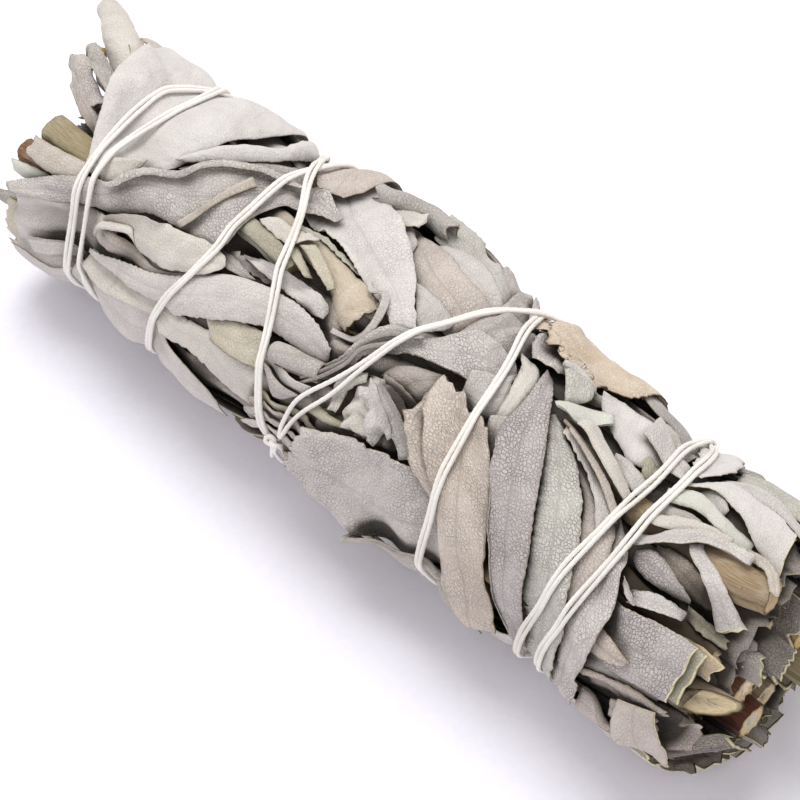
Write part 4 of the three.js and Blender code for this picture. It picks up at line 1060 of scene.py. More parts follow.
def standing_leaf(name, kind, around, along, out, sway, thickness, below, cut=False):
    """A leaf that stands out from the axis of the bunch, over grids of mm along and out from it."""
    turn = around + sway / np.maximum(out, NARROWEST) / DEGREE
    other = turn + thickness / np.maximum(out, NARROWEST) / DEGREE
    part = sheet_part(place(along, turn, out), place(along, other, out), out, along, cut)
    # Painted shade, by how far a place lies in from the leaf's open end.
    loose_ends.append((name, None, kind, part, both_faces(0.2 * below), "cut_edge" if cut else None))


def filling_leaves():
    """Folded leaves that stand between the main stems at the cut end."""
    for k, around in enumerate((34, -29, -92, -151, 152, 94)):
        for layer in range(2):
            end = random.uniform(51.5, 55.5) if k < 5 else 49.5
            share, thickness = cut_blade()
            out = np.linspace(1.2, 9.2, 22)[None, :] + 0 * share
            along = INNER_START + (end - INNER_START) * share
            along = along + 0.6 * waves(out, 0 * share, 2.0, 4) * share ** 4
            sway = 0.38 * waves(out, along * 0.22, 3.4) + (layer - 0.5) * 0.9
            # Both colours are darker copies, painted shade for leaves deep between the stems.
            standing_leaf(f"filling_leaf_{k}_{layer}", ("shaded", "shaded_olive")[layer], around, along, out,
                          sway, thickness, end - along, cut=True)


def tip_filling_leaves():
    """Folded leaf tips that stand inside the tip of the bunch."""
    for k, around in enumerate((20, 75, 130, 185, 240, 300)):
        end = -random.uniform(54, 57.5)
        share = np.linspace(0, 1, 30)[:, None]
        out = 0.8 + np.linspace(0, 1, 18)[None, :] * (8.6 - 5.0 * share ** 3)
        along = -INNER_START + (end + INNER_START) * share
        along = along + 0.7 * waves(out, 0 * share, 2.0, 4) * share ** 4
        sway = 0.45 * waves(out, along * 0.2, 3.4)
        # The inner and shaded colours are painted shade.
        standing_leaf(f"tip_filling_leaf_{k}", ("inner", "dull", "shaded")[k % 3], around, along, out, sway,
                      LEAF_THICKNESS, along - end)


def side_stems():
    """The thinner stems, and the stubs at the tip."""
    laid_stem("side_stem_knotty", "knotty_stem", [(12, 0), (34, 6), (48.8, 8.6), (54.2, 5)],
              (2.6, 3.2, 4.1), node="side_stem_knotty", nodes=(0.88,), raise_by=(-3.4, -2.6, -0.2))
    laid_stem("side_stem_split", "stem", [(14, 84), (36, 74), (54.4, 63)], (2.8, 4.6),
              node="side_stem_split", raise_by=(-3.2, -2.4, -0.4), flat=(1.3, 0.5), hollow=0.5,
              slant=(0.7, -1.2))
    laid_stem("side_stem_tan", "tan_stem", [(20, 36), (38, 40), (52.4, 45)], (2.6, 3.2),
              node="side_stem_tan", raise_by=(-3.2, -2.6, -1.6), broken=0.6, flat=(0.8, 1.1))
    laid_stem("side_stem_rear", "stem", [(16, 262), (38, 258), (57, 256)], (2.8, 3.8),
              node="side_stem_rear", raise_by=(-3.0, -2.2, -1.2))
    laid_stem("tip_twig", "olive_stem", [(-57.2, 37), (-50, 36), (-36, 28)], (4.2, 4.2, 2.6),
              node="tip_twig", raise_by=-0.6, broken=0.5, least=9.9)
    laid_stem("tip_stub_brown", "rough_stem", [(-60.2, 62), (-56, 59), (-40, 52)], (3.2, 2.6), broken=0.9,
              least=10.2, raise_by=-0.4)
    laid_stem("tip_stub_small", "rough_stem", [(-58.6, 53), (-54, 50), (-42, 46)], (1.6, 1.4), broken=0.6,
              least=11.0, raise_by=-0.4)
    laid_stem("tip_stub_golden", "golden_stem", [(-63.4, -19), (-61.6, -27), (-57, -32)], (1.15, 1.0),
              broken=0.3, least=11.8)


def scroll(name, kind, middle_line, radii, turns, start, node=None, crumple=0.12, ragged=0.35):
    """A leaf rolled up along a line of (along, around, radius), as dry leaves curl."""
    line = np.array([place(*at) / MM for at in middle_line])
    length = curve_length(line, 30)
    rows, columns = int(length / 0.4) + 6, int(turns * 26) + 8
    path = spline(line, rows)
    side, up = ring_frames(path)
    share = np.linspace(0, 1, rows)[:, None]
    wound = np.linspace(0, 1, columns)[None, :]
    angle = start * DEGREE + turns * 2 * math.pi * wound
    size = spread(radii, rows)[:, None]
    across = angle * size
    radius = size * (0.72 + 0.28 * wound) + crumple * waves(across, share * length * 0.6, 2.6)
    at_ends = smoothstep(0.7, 1, share) - smoothstep(0.3, 0, share)
    slide = ragged * waves(across, 0 * share, 1.8, 4) * at_ends
    outward = side[:, None] * np.cos(angle)[..., None] + up[:, None] * np.sin(angle)[..., None]
    middle = path[:, None] + headings(path)[:, None] * slide[..., None]
    low = (middle + outward * radius[..., None]) * MM
    high = (middle + outward * (radius + LEAF_THICKNESS)[..., None]) * MM
    part = sheet_part(low, high, across + 0 * share, share * length + 0 * wound)
    # Painted shade: the inner turns of the roll are darkened.
    depth = both_faces(0.9 * (1 - wound) + 0 * share)
    loose_ends.append((name, node, kind, part, depth, None))


def scrolls():
    """Rolled-up leaves at the tip and by the string's crossing, and the flared foot of the broken stem."""
    scroll("broken_stem_foot", "foot", [(-9.6, 9.0, 13.7), (-7.3, 13.0, 13.7), (-4.5, 17.8, 13.4)],
           (1.9, 2.55, 2.95, 2.6), 1.08, 250, crumple=0.08, ragged=0.35)
    scroll("far_rolled_strip", "grey", [(-18.5, -42, 17.4), (-13, -49, 18.4), (-8.2, -50, 18.4)],
           (0.9, 1.1), 0.9, 150, crumple=0.1)
    scroll("tip_leaf_finger", "cream",
           [(-52.5, -20, 12.6), (-57, -26, 13.6), (-62.2, -36, 14.7), (-66.2, -46, 15.3),
            (-69.4, -54, 15.6)], (2.5, 2.05, 1.25), 1.02, 200, node="tip_leaf_finger", crumple=0.05,
           ragged=0.5)
    scroll("tip_scroll_1", "dull", [(-61.6, -4, 13.0), (-58.3, 4, 13.2), (-53.5, 12, 12.8)], (0.9, 1.1),
           1.05, 150, crumple=0.3)
    scroll("tip_scroll_2", "grey", [(-62.2, -18, 13.2), (-59.4, -12, 13.4), (-54.5, -4, 13)], (0.8, 1.0),
           0.95, 120, crumple=0.3)
    scroll("snail_roll", "dull", [(-11.2, 54, 14.6), (-8.8, 51.5, 14.9), (-5, 49, 14.2)], (1.25, 1.0), 1.3,
           190, crumple=0.05, ragged=0.15)


def lay_bunch():
    """Lays every piece, from the inside outwards."""
    for lay in (main_stems, clasping_leaves, filling_leaves, end_layers, inner_leaves, side_stems, scrolls,
                low_and_back_leaves, cavity_pieces, tip_end_leaves, front_left_leaves, centre_leaves,
                cut_end_leaves, fan_leaves, top_right_leaves, tip_filling_leaves):
        lay()


# ---------------------------------------------------------------- the string's route

STRING_ROUTE = (      # along, around from the knot and back to it, three times up and down
    (-8.2, 101), (-16.3, 180), (-23, 250), (-26.3, 325), (-25.9, 375), (-26.1, 400), (-31, 456),
    (-35.8, 540), (-40.2, 605), (-48.4, 684), (-48.6, 720), (-46.9, 790), (-47.6, 900),
    (-49.6, 985), (-46.3, 1044), (-45.7, 1100), (-44, 1175), (-42.5, 1262), (-37, 1330),
    (-26.5, 1406), (-20, 1440), (-14, 1485), (-10.2, 1530), (-3.7, 1620), (2.4, 1690),
    (8.7, 1761), (13, 1800), (16.4, 1860), (16.6, 1905), (19, 1980), (24, 2045), (35.4, 2115),
    (38, 2170), (37.3, 2220), (34.4, 2265), (32.4, 2340), (31.6, 2420), (33, 2475), (35.1, 2520),
    (34, 2580), (31.4, 2625), (28.5, 2700), (20, 2765), (6.5, 2843), (3, 2880), (-1.2, 2922),
    (-5.2, 2948), (-7.2, 2972),
)
STRING_STEP = 0.32        # mm
STRAND_APART = 0.285      # mm, each strand's centre from the middle of the pair


def string_plan(side):
    """One strand of the doubled string in plan mm, wound on without wrapping round."""
    dense = spline(plan_points(STRING_ROUTE), 4000)
    distance = distance_along(dense)
    count = int(distance[-1] / STRING_STEP)
    at = np.linspace(0, distance[-1], count)
    plan = np.stack([np.interp(at, distance, dense[:, k]) for k in (0, 1)], -1)
    heading = headings(plan)
    across = np.stack([-heading[:, 1], heading[:, 0]], -1)
    apart = STRAND_APART + 0.05 * waves(at, 0 * at, 26, 3) + 0.05 * waves(at, 0 * at, 9, 3)
    near_knot = np.minimum(at, distance[-1] - at)
    apart = apart + 0.55 * np.exp(-((near_knot - 9) / 5) ** 2)
    apart = apart * np.clip(near_knot / 2.0, 0.3, 1)
    return plan + side * across * apart[:, None]


# ---------------------------------------------------------------- pressing the bunch into its form

def widened(values, steps, pick):
    """The highest or lowest value within some cells of each cell, wrapping around the bunch."""
    for _ in range(steps):
        padded = np.pad(values, ((1, 1), (0, 0)), mode="edge")
        values = pick([padded[:-2], padded[1:-1], padded[2:]], axis=0)
        values = pick([np.roll(values, 1, 1), values, np.roll(values, -1, 1)], axis=0)
    return values


def softened(values, passes):
    """Passes of smoothing, wrapping around the bunch."""
    for _ in range(passes):
        padded = np.pad(values, ((1, 1), (0, 0)), mode="edge")
        values = 0.25 * padded[:-2] + 0.5 * padded[1:-1] + 0.25 * padded[2:]
        values = 0.25 * np.roll(values, 1, 1) + 0.5 * values + 0.25 * np.roll(values, -1, 1)
    return values


def sampled(grid, plan):
    """A value of a grid laid out as the field is, at plan places."""
    low, left, u, v = field.cells(plan)
    left, right = left % field.columns, (left + 1) % field.columns
    return ((grid[low, left] * (1 - u) + grid[low + 1, left] * u) * (1 - v)
            + (grid[low, right] * (1 - u) + grid[low + 1, right] * u) * v)


def finished_radius(plan):
    """The nominal outside of the bunch, flattened where it rests on the table."""
    radius = np.interp(plan[..., 0] + MIDDLE_SHIFT, PROFILE_AT, PROFILE)
    radius = radius + bulge(plan[..., 0], plan[..., 1] / ARC)
    down = -np.cos(plan[..., 1] / PLAN_RADIUS)
    flat = (AXIS_HEIGHT - 0.25) / FLATTENING / np.maximum(down, 0.2)
    return np.where(down > 0.2, np.minimum(radius, flat), radius)


ENVELOPE_CELLS = 7        # gaps of up to twice as many cells are bridged by the envelope
ENVELOPE_PASSES = 110     # passes of smoothing on the envelope
WHOLE_TO = 50             # mm to each side, past which the envelope goes straight on
FAR_AWAY = 9.0            # mm, a place with no string near it
GROOVE_DEPTH = 0.15       # share of the height above STEADY_RADIUS that the string presses in
GROOVE_REACH = 1.9        # mm to each side of the string
GROOVE_CELLS = 11         # cells looked at to each side of the string
RESTING_GAP = 0.02        # mm, between the lowest leaves and the table


class Pressing:
    """How the tied string and the hands that made it press the loosely laid leaves together."""

    def __init__(self):
        top = field.reach
        plan = field.plan()
        whole = (plan[:, 0, 0] > -WHOLE_TO) & (plan[:, 0, 0] < WHOLE_TO)
        envelope = widened(widened(top, ENVELOPE_CELLS, np.max), ENVELOPE_CELLS, np.min)
        first, last = np.nonzero(whole)[0][[0, -1]]
        envelope[:first], envelope[last:] = envelope[first], envelope[last]
        self.envelope = softened(envelope, ENVELOPE_PASSES)
        self.near_top = softened(top, 4)
        self.wanted = finished_radius(plan)
        inner = self.envelope - LOOSE_DEPTH - STEADY_RADIUS
        self.share = (self.wanted - LOOSE_DEPTH - STEADY_RADIUS) / np.maximum(inner, 1.0)
        near = np.full(top.shape, FAR_AWAY)
        for side in (-1, 1):
            line = string_plan(side)[::2]
            low, left, _, _ = field.cells(line)
            for i in range(-GROOVE_CELLS, GROOVE_CELLS + 1):
                for j in range(-GROOVE_CELLS, GROOVE_CELLS + 1):
                    cell = np.clip(low + i, 0, field.rows - 1), (left + j) % field.columns
                    gap = np.hypot(plan[(*cell, 0)] - line[:, 0], j * field.TURN * ARC)
                    np.minimum.at(near, cell, gap)
        self.groove = softened(1 - GROOVE_DEPTH * np.exp(-(near / GROOVE_REACH) ** 2), 3)
        self.surface = self.pressed(plan, top)

    def pressed(self, plan, radius):
        """The radius of a laid point once the string is tied."""
        below = sampled(self.envelope, plan) - radius
        inner = STEADY_RADIUS + (radius - STEADY_RADIUS) * sampled(self.share, plan)
        outer = sampled(self.wanted, plan) - below
        packed = np.where(below < LOOSE_DEPTH, outer, inner)
        packed = STEADY_RADIUS + (packed - STEADY_RADIUS) * sampled(self.groove, plan)
        radius = np.where(radius > STEADY_RADIUS, packed, radius)
        down = -np.cos(plan[..., 1] / PLAN_RADIUS)
        table = (AXIS_HEIGHT - RESTING_GAP) / FLATTENING / np.maximum(down, 0.05)
        return np.minimum(radius, table)

    def depth(self, plan, radius):
        """How shaded a place is, in mm under the outside and under the leaf edges beside it."""
        below = np.maximum(sampled(self.envelope, plan) - radius - 1.0, 0)
        beside = np.maximum(sampled(self.near_top, plan) - radius - 0.12, 0)
        open_end = np.interp(plan[..., 0], (-60, -50, 49, 55), (0.1, 0.9, 0.9, 0.15))
        return (below * 0.65 + beside * 1.5) * open_end


# ---------------------------------------------------------------- the string itself

SAG = 0.0026              # mm between one point of the string and the next
STRAND_SINK = 0.42        # a strand's middle above the leaves, as a share of its thickness
CROSSING_GAP = STRAND * 0.95
LATER = 30                # points; what lies further on along the string passes over


def taut(bed, passes=500):
    """The height of a pulled string over a bed: it touches the high places and spans the others."""
    height = bed.copy()
    for _ in range(passes):
        padded = np.pad(height, 1, mode="edge")
        height = np.maximum(bed, 0.5 * padded[:-2] + 0.5 * padded[2:] - SAG)
    for _ in range(4):
        padded = np.pad(height, 1, mode="edge")
        height = 0.25 * padded[:-2] + 0.5 * height + 0.25 * padded[2:]
    return height


def strand_heights(lines, pressing):
    """Radii for the strands; a later turn passes over an earlier one."""
    beds = []
    for line in lines:
        around = [sampled(pressing.surface, line + np.array([i, j]))
                  for i in (-0.25, 0.25) for j in (-0.25, 0.25)]
        beds.append(np.max(around, axis=0) + STRAND * STRAND_SINK)
    count = len(lines[0])
    order = np.tile(np.arange(count), 2)
    points = np.concatenate(lines)
    turn = 2 * math.pi * PLAN_RADIUS
    pairs = []
    batch = 400
    for start in range(0, len(points), batch):
        part = points[start:start + batch]
        along = np.abs(part[:, None, 0] - points[None, :, 0])
        around = np.abs((part[:, None, 1] - points[None, :, 1] + turn / 2) % turn - turn / 2)
        gap = np.hypot(along, around)
        later = order[start:start + batch, None] - order[None, :] > LATER
        over, under = np.nonzero((gap < CROSSING_GAP) & later)
        pairs.append(np.stack([over + start, under, np.round(gap[over, under] * 1000)], -1))
    pairs = np.concatenate(pairs).astype(int)       # the point over, the point under, micrometres apart
    bed = np.concatenate(beds)
    height = np.concatenate([taut(bed[:count]), taut(bed[count:])])
    for _ in range(3):
        crossing = bed.copy()
        lift = np.sqrt(np.maximum(CROSSING_GAP ** 2 - (pairs[:, 2] / 1000) ** 2, 0))
        np.maximum.at(crossing, pairs[:, 0], height[pairs[:, 1]] + lift)
        height = np.concatenate([taut(crossing[:count]), taut(crossing[count:])])
    return [height[:count], height[count:]]


STRAND_SIDES = 12
PLIES = 3                 # threads twisted into a strand
TWIST_PITCH = 2.7         # mm
PLY_DEPTH = 0.07          # share of the strand's radius


def tube(path, radius, phase=0.0):
    """A strand twisted from plies along points in mm, as (points, faces, uv, margin, kind)."""
    sides, heading = STRAND_SIDES, headings(path)
    outward = path * np.array([0.0, 1.0, 1.0]) - np.array([0.0, 0.0, AXIS_HEIGHT])
    outward -= heading * (outward * heading).sum(1)[:, None]
    outward /= np.linalg.norm(outward, axis=1)[:, None] + 1e-9
    side = np.cross(outward, heading)
    distance = distance_along(path)
    turn = np.linspace(0, 2 * math.pi, sides, endpoint=False)
    twist = 2 * math.pi * distance / TWIST_PITCH + phase
    size = radius * (1 + PLY_DEPTH * np.cos(PLIES * turn[None] - twist[:, None] * PLIES))
    ends = np.minimum(distance, distance[-1] - distance)
    size = size * np.clip(0.35 + ends / 0.5, 0, 1)[:, None]
    points = (path[:, None] + side[:, None] * (size * np.cos(turn))[..., None]
              + outward[:, None] * (size * np.sin(turn))[..., None])
    body = np.arange(len(path) * sides).reshape(len(path), sides)
    after = np.roll(body, -1, axis=1)
    faces = [np.stack([body[:-1], body[1:], after[1:], after[:-1]], -1).reshape(-1, 4)]
    faces += [ring_fill(body[0]), ring_fill(body[-1])[:, ::-1]]
    faces = np.concatenate(faces)
    uv = np.stack([np.repeat(turn[None] * radius, len(path), 0) + twist[:, None] * radius * 0.5,
                   np.repeat(distance[:, None], sides, 1)], -1).reshape(-1, 2)
    flat = points.reshape(-1, 3)
    return [flat * MM, faces, uv, np.ones(len(flat)), np.zeros(len(faces))]


def fuzz(path, radius, count):
    """Short loose fibres standing off a strand."""
    distance = np.arange(len(path))
    at = random.uniform(1, len(path) - 2, count)
    origin = np.stack([np.interp(at, distance, path[:, k]) for k in range(3)], -1)
    heading = np.gradient(path, axis=0)
    heading = np.stack([np.interp(at, distance, heading[:, k]) for k in range(3)], -1)
    heading /= np.linalg.norm(heading, axis=1)[:, None]
    aside = random.standard_normal((count, 3))
    aside -= heading * (aside * heading).sum(1)[:, None]
    aside /= np.linalg.norm(aside, axis=1)[:, None]
    outward = origin - np.array([0, 0, AXIS_HEIGHT]) - origin * np.array([1.0, 0, 0])
    outward /= np.linalg.norm(outward, axis=1)[:, None]
    aside = np.where((aside * outward).sum(1)[:, None] < -0.1, -aside, aside)
    reach = random.uniform(0.12, 0.42, count)[:, None]
    lean = random.uniform(-0.7, 0.7, count)[:, None]
    first = origin + aside * radius * 0.8
    middle = first + aside * reach * 0.5 + heading * lean * reach * 0.4
    last = middle + aside * reach * 0.3 + heading * lean * reach * 0.9
    width = np.cross(aside, heading) * 0.022
    rings = [np.stack([p - w, p + w], 1) for p, w in ((first, width), (middle, width), (last, width * 0.4))]
    points = np.concatenate(rings, 1).reshape(-1, 3)
    base = 6 * np.arange(count)[:, None]
    faces = np.concatenate([base + np.array([0, 1, 3, 2]), base + np.array([2, 3, 5, 4])])
    return [points * MM, faces, np.zeros((len(points), 2)), np.ones(len(points)), np.zeros(len(faces))]


def knot_curve(centre, across, along, out, size):
    """A small overhand knot, in mm."""
    t = np.linspace(0, 2 * math.pi, 90)
    x = np.sin(t) + 2 * np.sin(2 * t)
    y = np.cos(t) - 2 * np.cos(2 * t)
    z = -np.sin(3 * t) * 0.9
    scale = size / 3
    return centre + scale * (x[:, None] * along + y[:, None] * across * 0.8 + z[:, None] * out)


KNOT_PLACE = (-7.9, 97)   # along, around
KNOT_HEIGHT = 0.75        # mm, the knot's middle above the leaves
KNOT_SIZE = 1.15          # mm
FIBRES = 1500             # stray fibres on each strand


def tie_string(pressing):
    """The two strands with their stray fibres, the knot and its two ends."""
    lines = [string_plan(side) for side in (-1, 1)]
    heights = strand_heights(lines, pressing)
    parts = []
    for k, (line, height) in enumerate(zip(lines, heights)):
        path = place(line[:, 0], line[:, 1] / ARC, height) / MM
        parts.append(tube(path, STRAND / 2, phase=k * 1.7))
        parts.append(fuzz(path, STRAND / 2, FIBRES))
    at, turn = KNOT_PLACE
    radius = float(sampled(pressing.surface, np.array([at, turn * ARC])))
    centre = place(at, turn, radius + KNOT_HEIGHT) / MM
    out = np.array([0.0, -math.sin(turn * DEGREE), math.cos(turn * DEGREE)])
    along = np.array([1.0, 0.0, 0.0])
    across = np.cross(out, along)
    parts.append(tube(knot_curve(centre, across, along, out, KNOT_SIZE), STRAND / 2))
    for sideways, reach in ((-0.8, 4.2), (0.6, 3.4)):
        share = np.linspace(0, 1, 16)[:, None]
        tail = (centre + across * (-share * reach) + along * sideways * share ** 1.5 * 1.6
                + out * (0.2 - 0.5 * share + 0.8 * share * (1 - share)))
        parts.append(tube(tail, STRAND / 2 * 0.95))
    return joined("tie_string", parts)


# ---------------------------------------------------------------- materials

def linear(colour):
    """Linear light from a colour given in 0-255 display values."""
    values = [c / 255 for c in colour]
    return [c / 12.92 if c <= 0.04045 else ((c + 0.055) / 1.055) ** 2.4 for c in values] + [1.0]


class Finish:
    """A node material built around one Principled shader."""

    def __init__(self, name, roughness):
        self.material = bpy.data.materials.new(name)
        self.material.use_nodes = True
        self.nodes, self.links = self.material.node_tree.nodes, self.material.node_tree.links
        self.nodes.clear()
        output = self.nodes.new("ShaderNodeOutputMaterial")
        self.shader = self.nodes.new("ShaderNodeBsdfPrincipled")
        self.links.new(self.shader.outputs["BSDF"], output.inputs["Surface"])
        self.shader.inputs["Roughness"].default_value = roughness
        self.shader.inputs["Specular IOR Level"].default_value = 0.2

    def put(self, socket, value):
        if isinstance(value, bpy.types.NodeSocket):
            self.links.new(value, socket)
        else:
            socket.default_value = value

    def node(self, kind, values=(), **settings):
        """A node with its settings, and with values or other nodes' outputs put in its inputs."""
        node = self.nodes.new("ShaderNode" + kind)
        for name, value in settings.items():
            setattr(node, name, value)
        for socket, value in values:
            self.put(node.inputs[socket], value)
        return node

    def combine(self, operation, a, b=0.0):
        return self.node("Math", enumerate((a, b, 0.0)), operation=operation).outputs[0]

    def band(self, value, low, high, first=0.0, last=1.0):
        """From first to last, smoothly, as the value goes from low to high."""
        names = ("Value", "From Min", "From Max", "To Min", "To Max")
        values = zip(names, (value, low, high, first, last))
        return self.node("MapRange", values, interpolation_type="SMOOTHSTEP").outputs[0]

    def blend(self, share, a, b):
        return self.node("Mix", ((0, share), (6, a), (7, b)), data_type="RGBA").outputs[2]

    def noise(self, place, scale, detail=2.0, roughness=0.5):
        values = (("Vector", place), ("Scale", scale), ("Detail", detail), ("Roughness", roughness))
        return self.node("TexNoise", values).outputs[0]

    def network(self, place, scale):
        """How far a place is from the nearest wall of a network of cells."""
        values = (("Vector", place), ("Scale", scale), ("Randomness", 0.9))
        return self.node("TexVoronoi", values, voronoi_dimensions="2D",
                         feature="DISTANCE_TO_EDGE").outputs["Distance"]

    def plan(self):
        return self.node("UVMap", uv_map="plan").outputs[0]

    def parts(self, vector):
        return self.node("SeparateXYZ", ((0, vector),)).outputs

    def vector(self, x, y, z=0.0):
        return self.node("CombineXYZ", enumerate((x, y, z))).outputs[0]

    def stored(self, name):
        """A number stored on the mesh's vertices."""
        return self.node("Attribute", attribute_name=name).outputs["Fac"]

    def bump(self, height, distance, strength=1.0, under=None):
        values = [("Strength", strength), ("Distance", distance), ("Height", height)]
        if under is not None:
            values.append(("Normal", under))
        return self.node("Bump", values).outputs[0]

    def made(self, colour, normal):
        """The material, with its colour and its surface."""
        self.put(self.shader.inputs["Base Color"], colour)
        self.put(self.shader.inputs["Normal"], normal)
        return self.material


def shaded(finish, colour):
    """The colour darkened deep in the gaps between leaves, as painted shade, by the stored depth."""
    share = finish.band(finish.stored("depth"), 0.05, 2.5, 0.0, 0.94)
    return finish.blend(share, colour, linear((52, 44, 37)))


def leaf_finish(name, base, second, edge, veins=0.5, network=0.5, stain=0.25):
    """Felted dried leaf: a fine network of veins, side veins off the midrib, mottling and fuzz."""
    finish = Finish(name, 0.88)
    plan = finish.plan()
    wander = finish.noise(plan, 0.55, 2)
    x, y, _ = finish.parts(plan)
    bend = finish.combine("MULTIPLY", finish.combine("SUBTRACT", wander, 0.5), 1.1)
    bent = finish.vector(finish.combine("ADD", x, bend), finish.combine("ADD", y, bend))
    away = finish.combine("ABSOLUTE", x)
    rise = finish.combine("MULTIPLY", away, 0.95)
    run = finish.combine("ADD", finish.combine("SUBTRACT", y, rise), finish.combine("MULTIPLY", bend, 1.5))
    side_vein = finish.band(finish.combine("PINGPONG", run, 1.45), 0.02, 0.15, 1.0, 0.0)
    midrib = finish.band(away, 0.06, 0.28, 1.0, 0.0)
    cells = finish.network(bent, 2.2)
    fine = finish.band(cells, 0.01, 0.1, 1.0, 0.0)
    coarse = finish.band(finish.network(bent, 0.62), 0.005, 0.035, 1.0, 0.0)
    presence = finish.band(finish.noise(plan, 0.2, 2), 0.35, 0.62, 0.42, 1.0)
    lines = finish.combine("MAXIMUM", finish.combine("MULTIPLY", fine, 0.85 * network),
                           finish.combine("MULTIPLY", coarse, 0.6 * network))
    lines = finish.combine("MAXIMUM", finish.combine("MULTIPLY", lines, presence),
                           finish.combine("MULTIPLY", side_vein, 0.5 * veins))
    lines = finish.combine("MAXIMUM", lines, finish.combine("MULTIPLY", midrib, 0.6 * veins))
    mottle = finish.band(finish.noise(plan, 0.22, 3, 0.6), 0.35, 0.68)
    colour = finish.blend(mottle, linear(base), linear(second))
    patch = finish.band(finish.noise(finish.vector(y, x, 7.0), 0.13, 4, 0.62), 0.55, 0.74, 0.0, stain)
    colour = finish.blend(patch, colour, linear((196, 178, 160)))
    dots = finish.band(finish.noise(plan, 1.9, 1), 0.74, 0.80, 0.0, 0.5)
    colour = finish.blend(dots, colour, linear((150, 130, 112)))
    felt = finish.noise(plan, 7.0, 3, 0.75)
    colour = finish.blend(finish.band(felt, 0.4, 0.64, 0.0, 0.3), colour, linear((255, 252, 248)))
    colour = finish.blend(finish.band(felt, 0.5, 0.34, 0.0, 0.3), colour, linear((120, 108, 98)))
    vein_colour = [c * 0.47 for c in linear(second)[:3]] + [1.0]
    colour = finish.blend(lines, colour, vein_colour)
    frayed = finish.combine("ADD", finish.stored("margin"),
                            finish.combine("MULTIPLY", finish.noise(plan, 2.4, 2), 0.5))
    colour = finish.blend(finish.band(frayed, 0.22, 0.52, 0.55, 0.0), colour, linear(edge))
    colour = shaded(finish, colour)
    rise = finish.combine("SUBTRACT", finish.combine("MULTIPLY", felt, 0.45),
                          finish.combine("MULTIPLY", lines, 0.9))
    waviness = finish.bump(finish.noise(plan, 0.45, 3, 0.5), 0.0011, 0.5)
    swell = finish.bump(finish.band(cells, 0.0, 0.3), 0.00005, 0.2 + 0.6 * network, waviness)
    finish.shader.inputs["Sheen Weight"].default_value = 0.12
    finish.shader.inputs["Sheen Roughness"].default_value = 0.6
    return finish.made(colour, finish.bump(rise, 0.00007, 0.9, swell))


def rim_finish(name, colour, dark):
    """The thin broken edge of a leaf: pale, with brown and olive places, and a painted shadow along its
    lower half.
    """
    finish = Finish(name, 0.9)
    plan = finish.plan()
    spots = finish.band(finish.noise(plan, 1.1, 3, 0.6), 0.45, 0.7)
    tone = finish.blend(spots, linear(colour), linear(dark))
    # Painted shadow: the rim darkens towards the leaf's lower face, as a dark line under its edge.
    below = finish.band(finish.stored("under"), 0.35, 0.75, 0.0, 0.85)
    tone = finish.blend(below, tone, linear((46, 36, 26)))
    tone = shaded(finish, tone)
    return finish.made(tone, finish.bump(finish.noise(plan, 7, 2), 0.00008, 0.7))


def stem_finish(name, base, second, streak=0.5):
    """Dried stem skin: long ribs, fibres, freckles and scuffed patches."""
    finish = Finish(name, 0.75)
    plan = finish.plan()
    x, y, _ = finish.parts(plan)
    stretched = finish.vector(finish.combine("MULTIPLY", x, 3.2), finish.combine("MULTIPLY", y, 0.25))
    fibres = finish.noise(stretched, 2.2, 4, 0.65)
    colour = finish.blend(finish.band(fibres, 0.32, 0.68), linear(base), linear(second))
    patch = finish.band(finish.noise(plan, 0.35, 3), 0.5, 0.7, 0.0, streak)
    colour = finish.blend(patch, colour, linear((205, 200, 184)))
    freckles = finish.band(finish.noise(plan, 2.8, 2), 0.66, 0.74, 0.0, 0.6)
    colour = finish.blend(freckles, colour, linear((96, 74, 56)))
    colour = shaded(finish, colour)
    return finish.made(colour, finish.bump(fibres, 0.0002, 0.9))


def cut_finish(name, ring, pith):
    """The end of a cut stem: a cream ring of wood around a pale, pitted middle."""
    finish = Finish(name, 0.9)
    plan = finish.plan()
    share = finish.stored("margin")
    grain = finish.noise(plan, 3.4, 3, 0.6)
    darker = [c * 0.78 for c in linear(ring)[:3]] + [1]
    colour = finish.blend(finish.band(grain, 0.35, 0.65), linear(ring), darker)
    uneven = finish.combine("ADD", share, finish.combine("MULTIPLY", grain, 0.14))
    middle = finish.band(uneven, 0.48, 0.62, 1.0, 0.0)
    colour = finish.blend(middle, colour, linear(pith))
    bark = finish.band(share, 0.86, 0.97)
    colour = finish.blend(bark, colour, linear((120, 100, 74)))
    return finish.made(colour, finish.bump(grain, 0.00025, 0.9))


def cotton_finish():
    """Soft cotton: off-white, a little darker between the plies, with fine fibres."""
    finish = Finish("cotton_string", 0.92)
    plan = finish.plan()
    x, y, _ = finish.parts(plan)
    lean = finish.combine("ADD", x, finish.combine("MULTIPLY", y, 0.5))
    slant = finish.vector(finish.combine("MULTIPLY", lean, 5.0), y)
    fibres = finish.noise(slant, 2.0, 3, 0.7)
    colour = finish.blend(finish.band(fibres, 0.3, 0.7), linear((255, 253, 249)), linear((240, 235, 227)))
    grubby = finish.band(finish.noise(plan, 0.12, 2), 0.5, 0.72, 0.0, 0.35)
    colour = finish.blend(grubby, colour, linear((205, 196, 184)))
    finish.shader.inputs["Sheen Weight"].default_value = 0.3
    return finish.made(colour, finish.bump(fibres, 0.00012, 0.8))


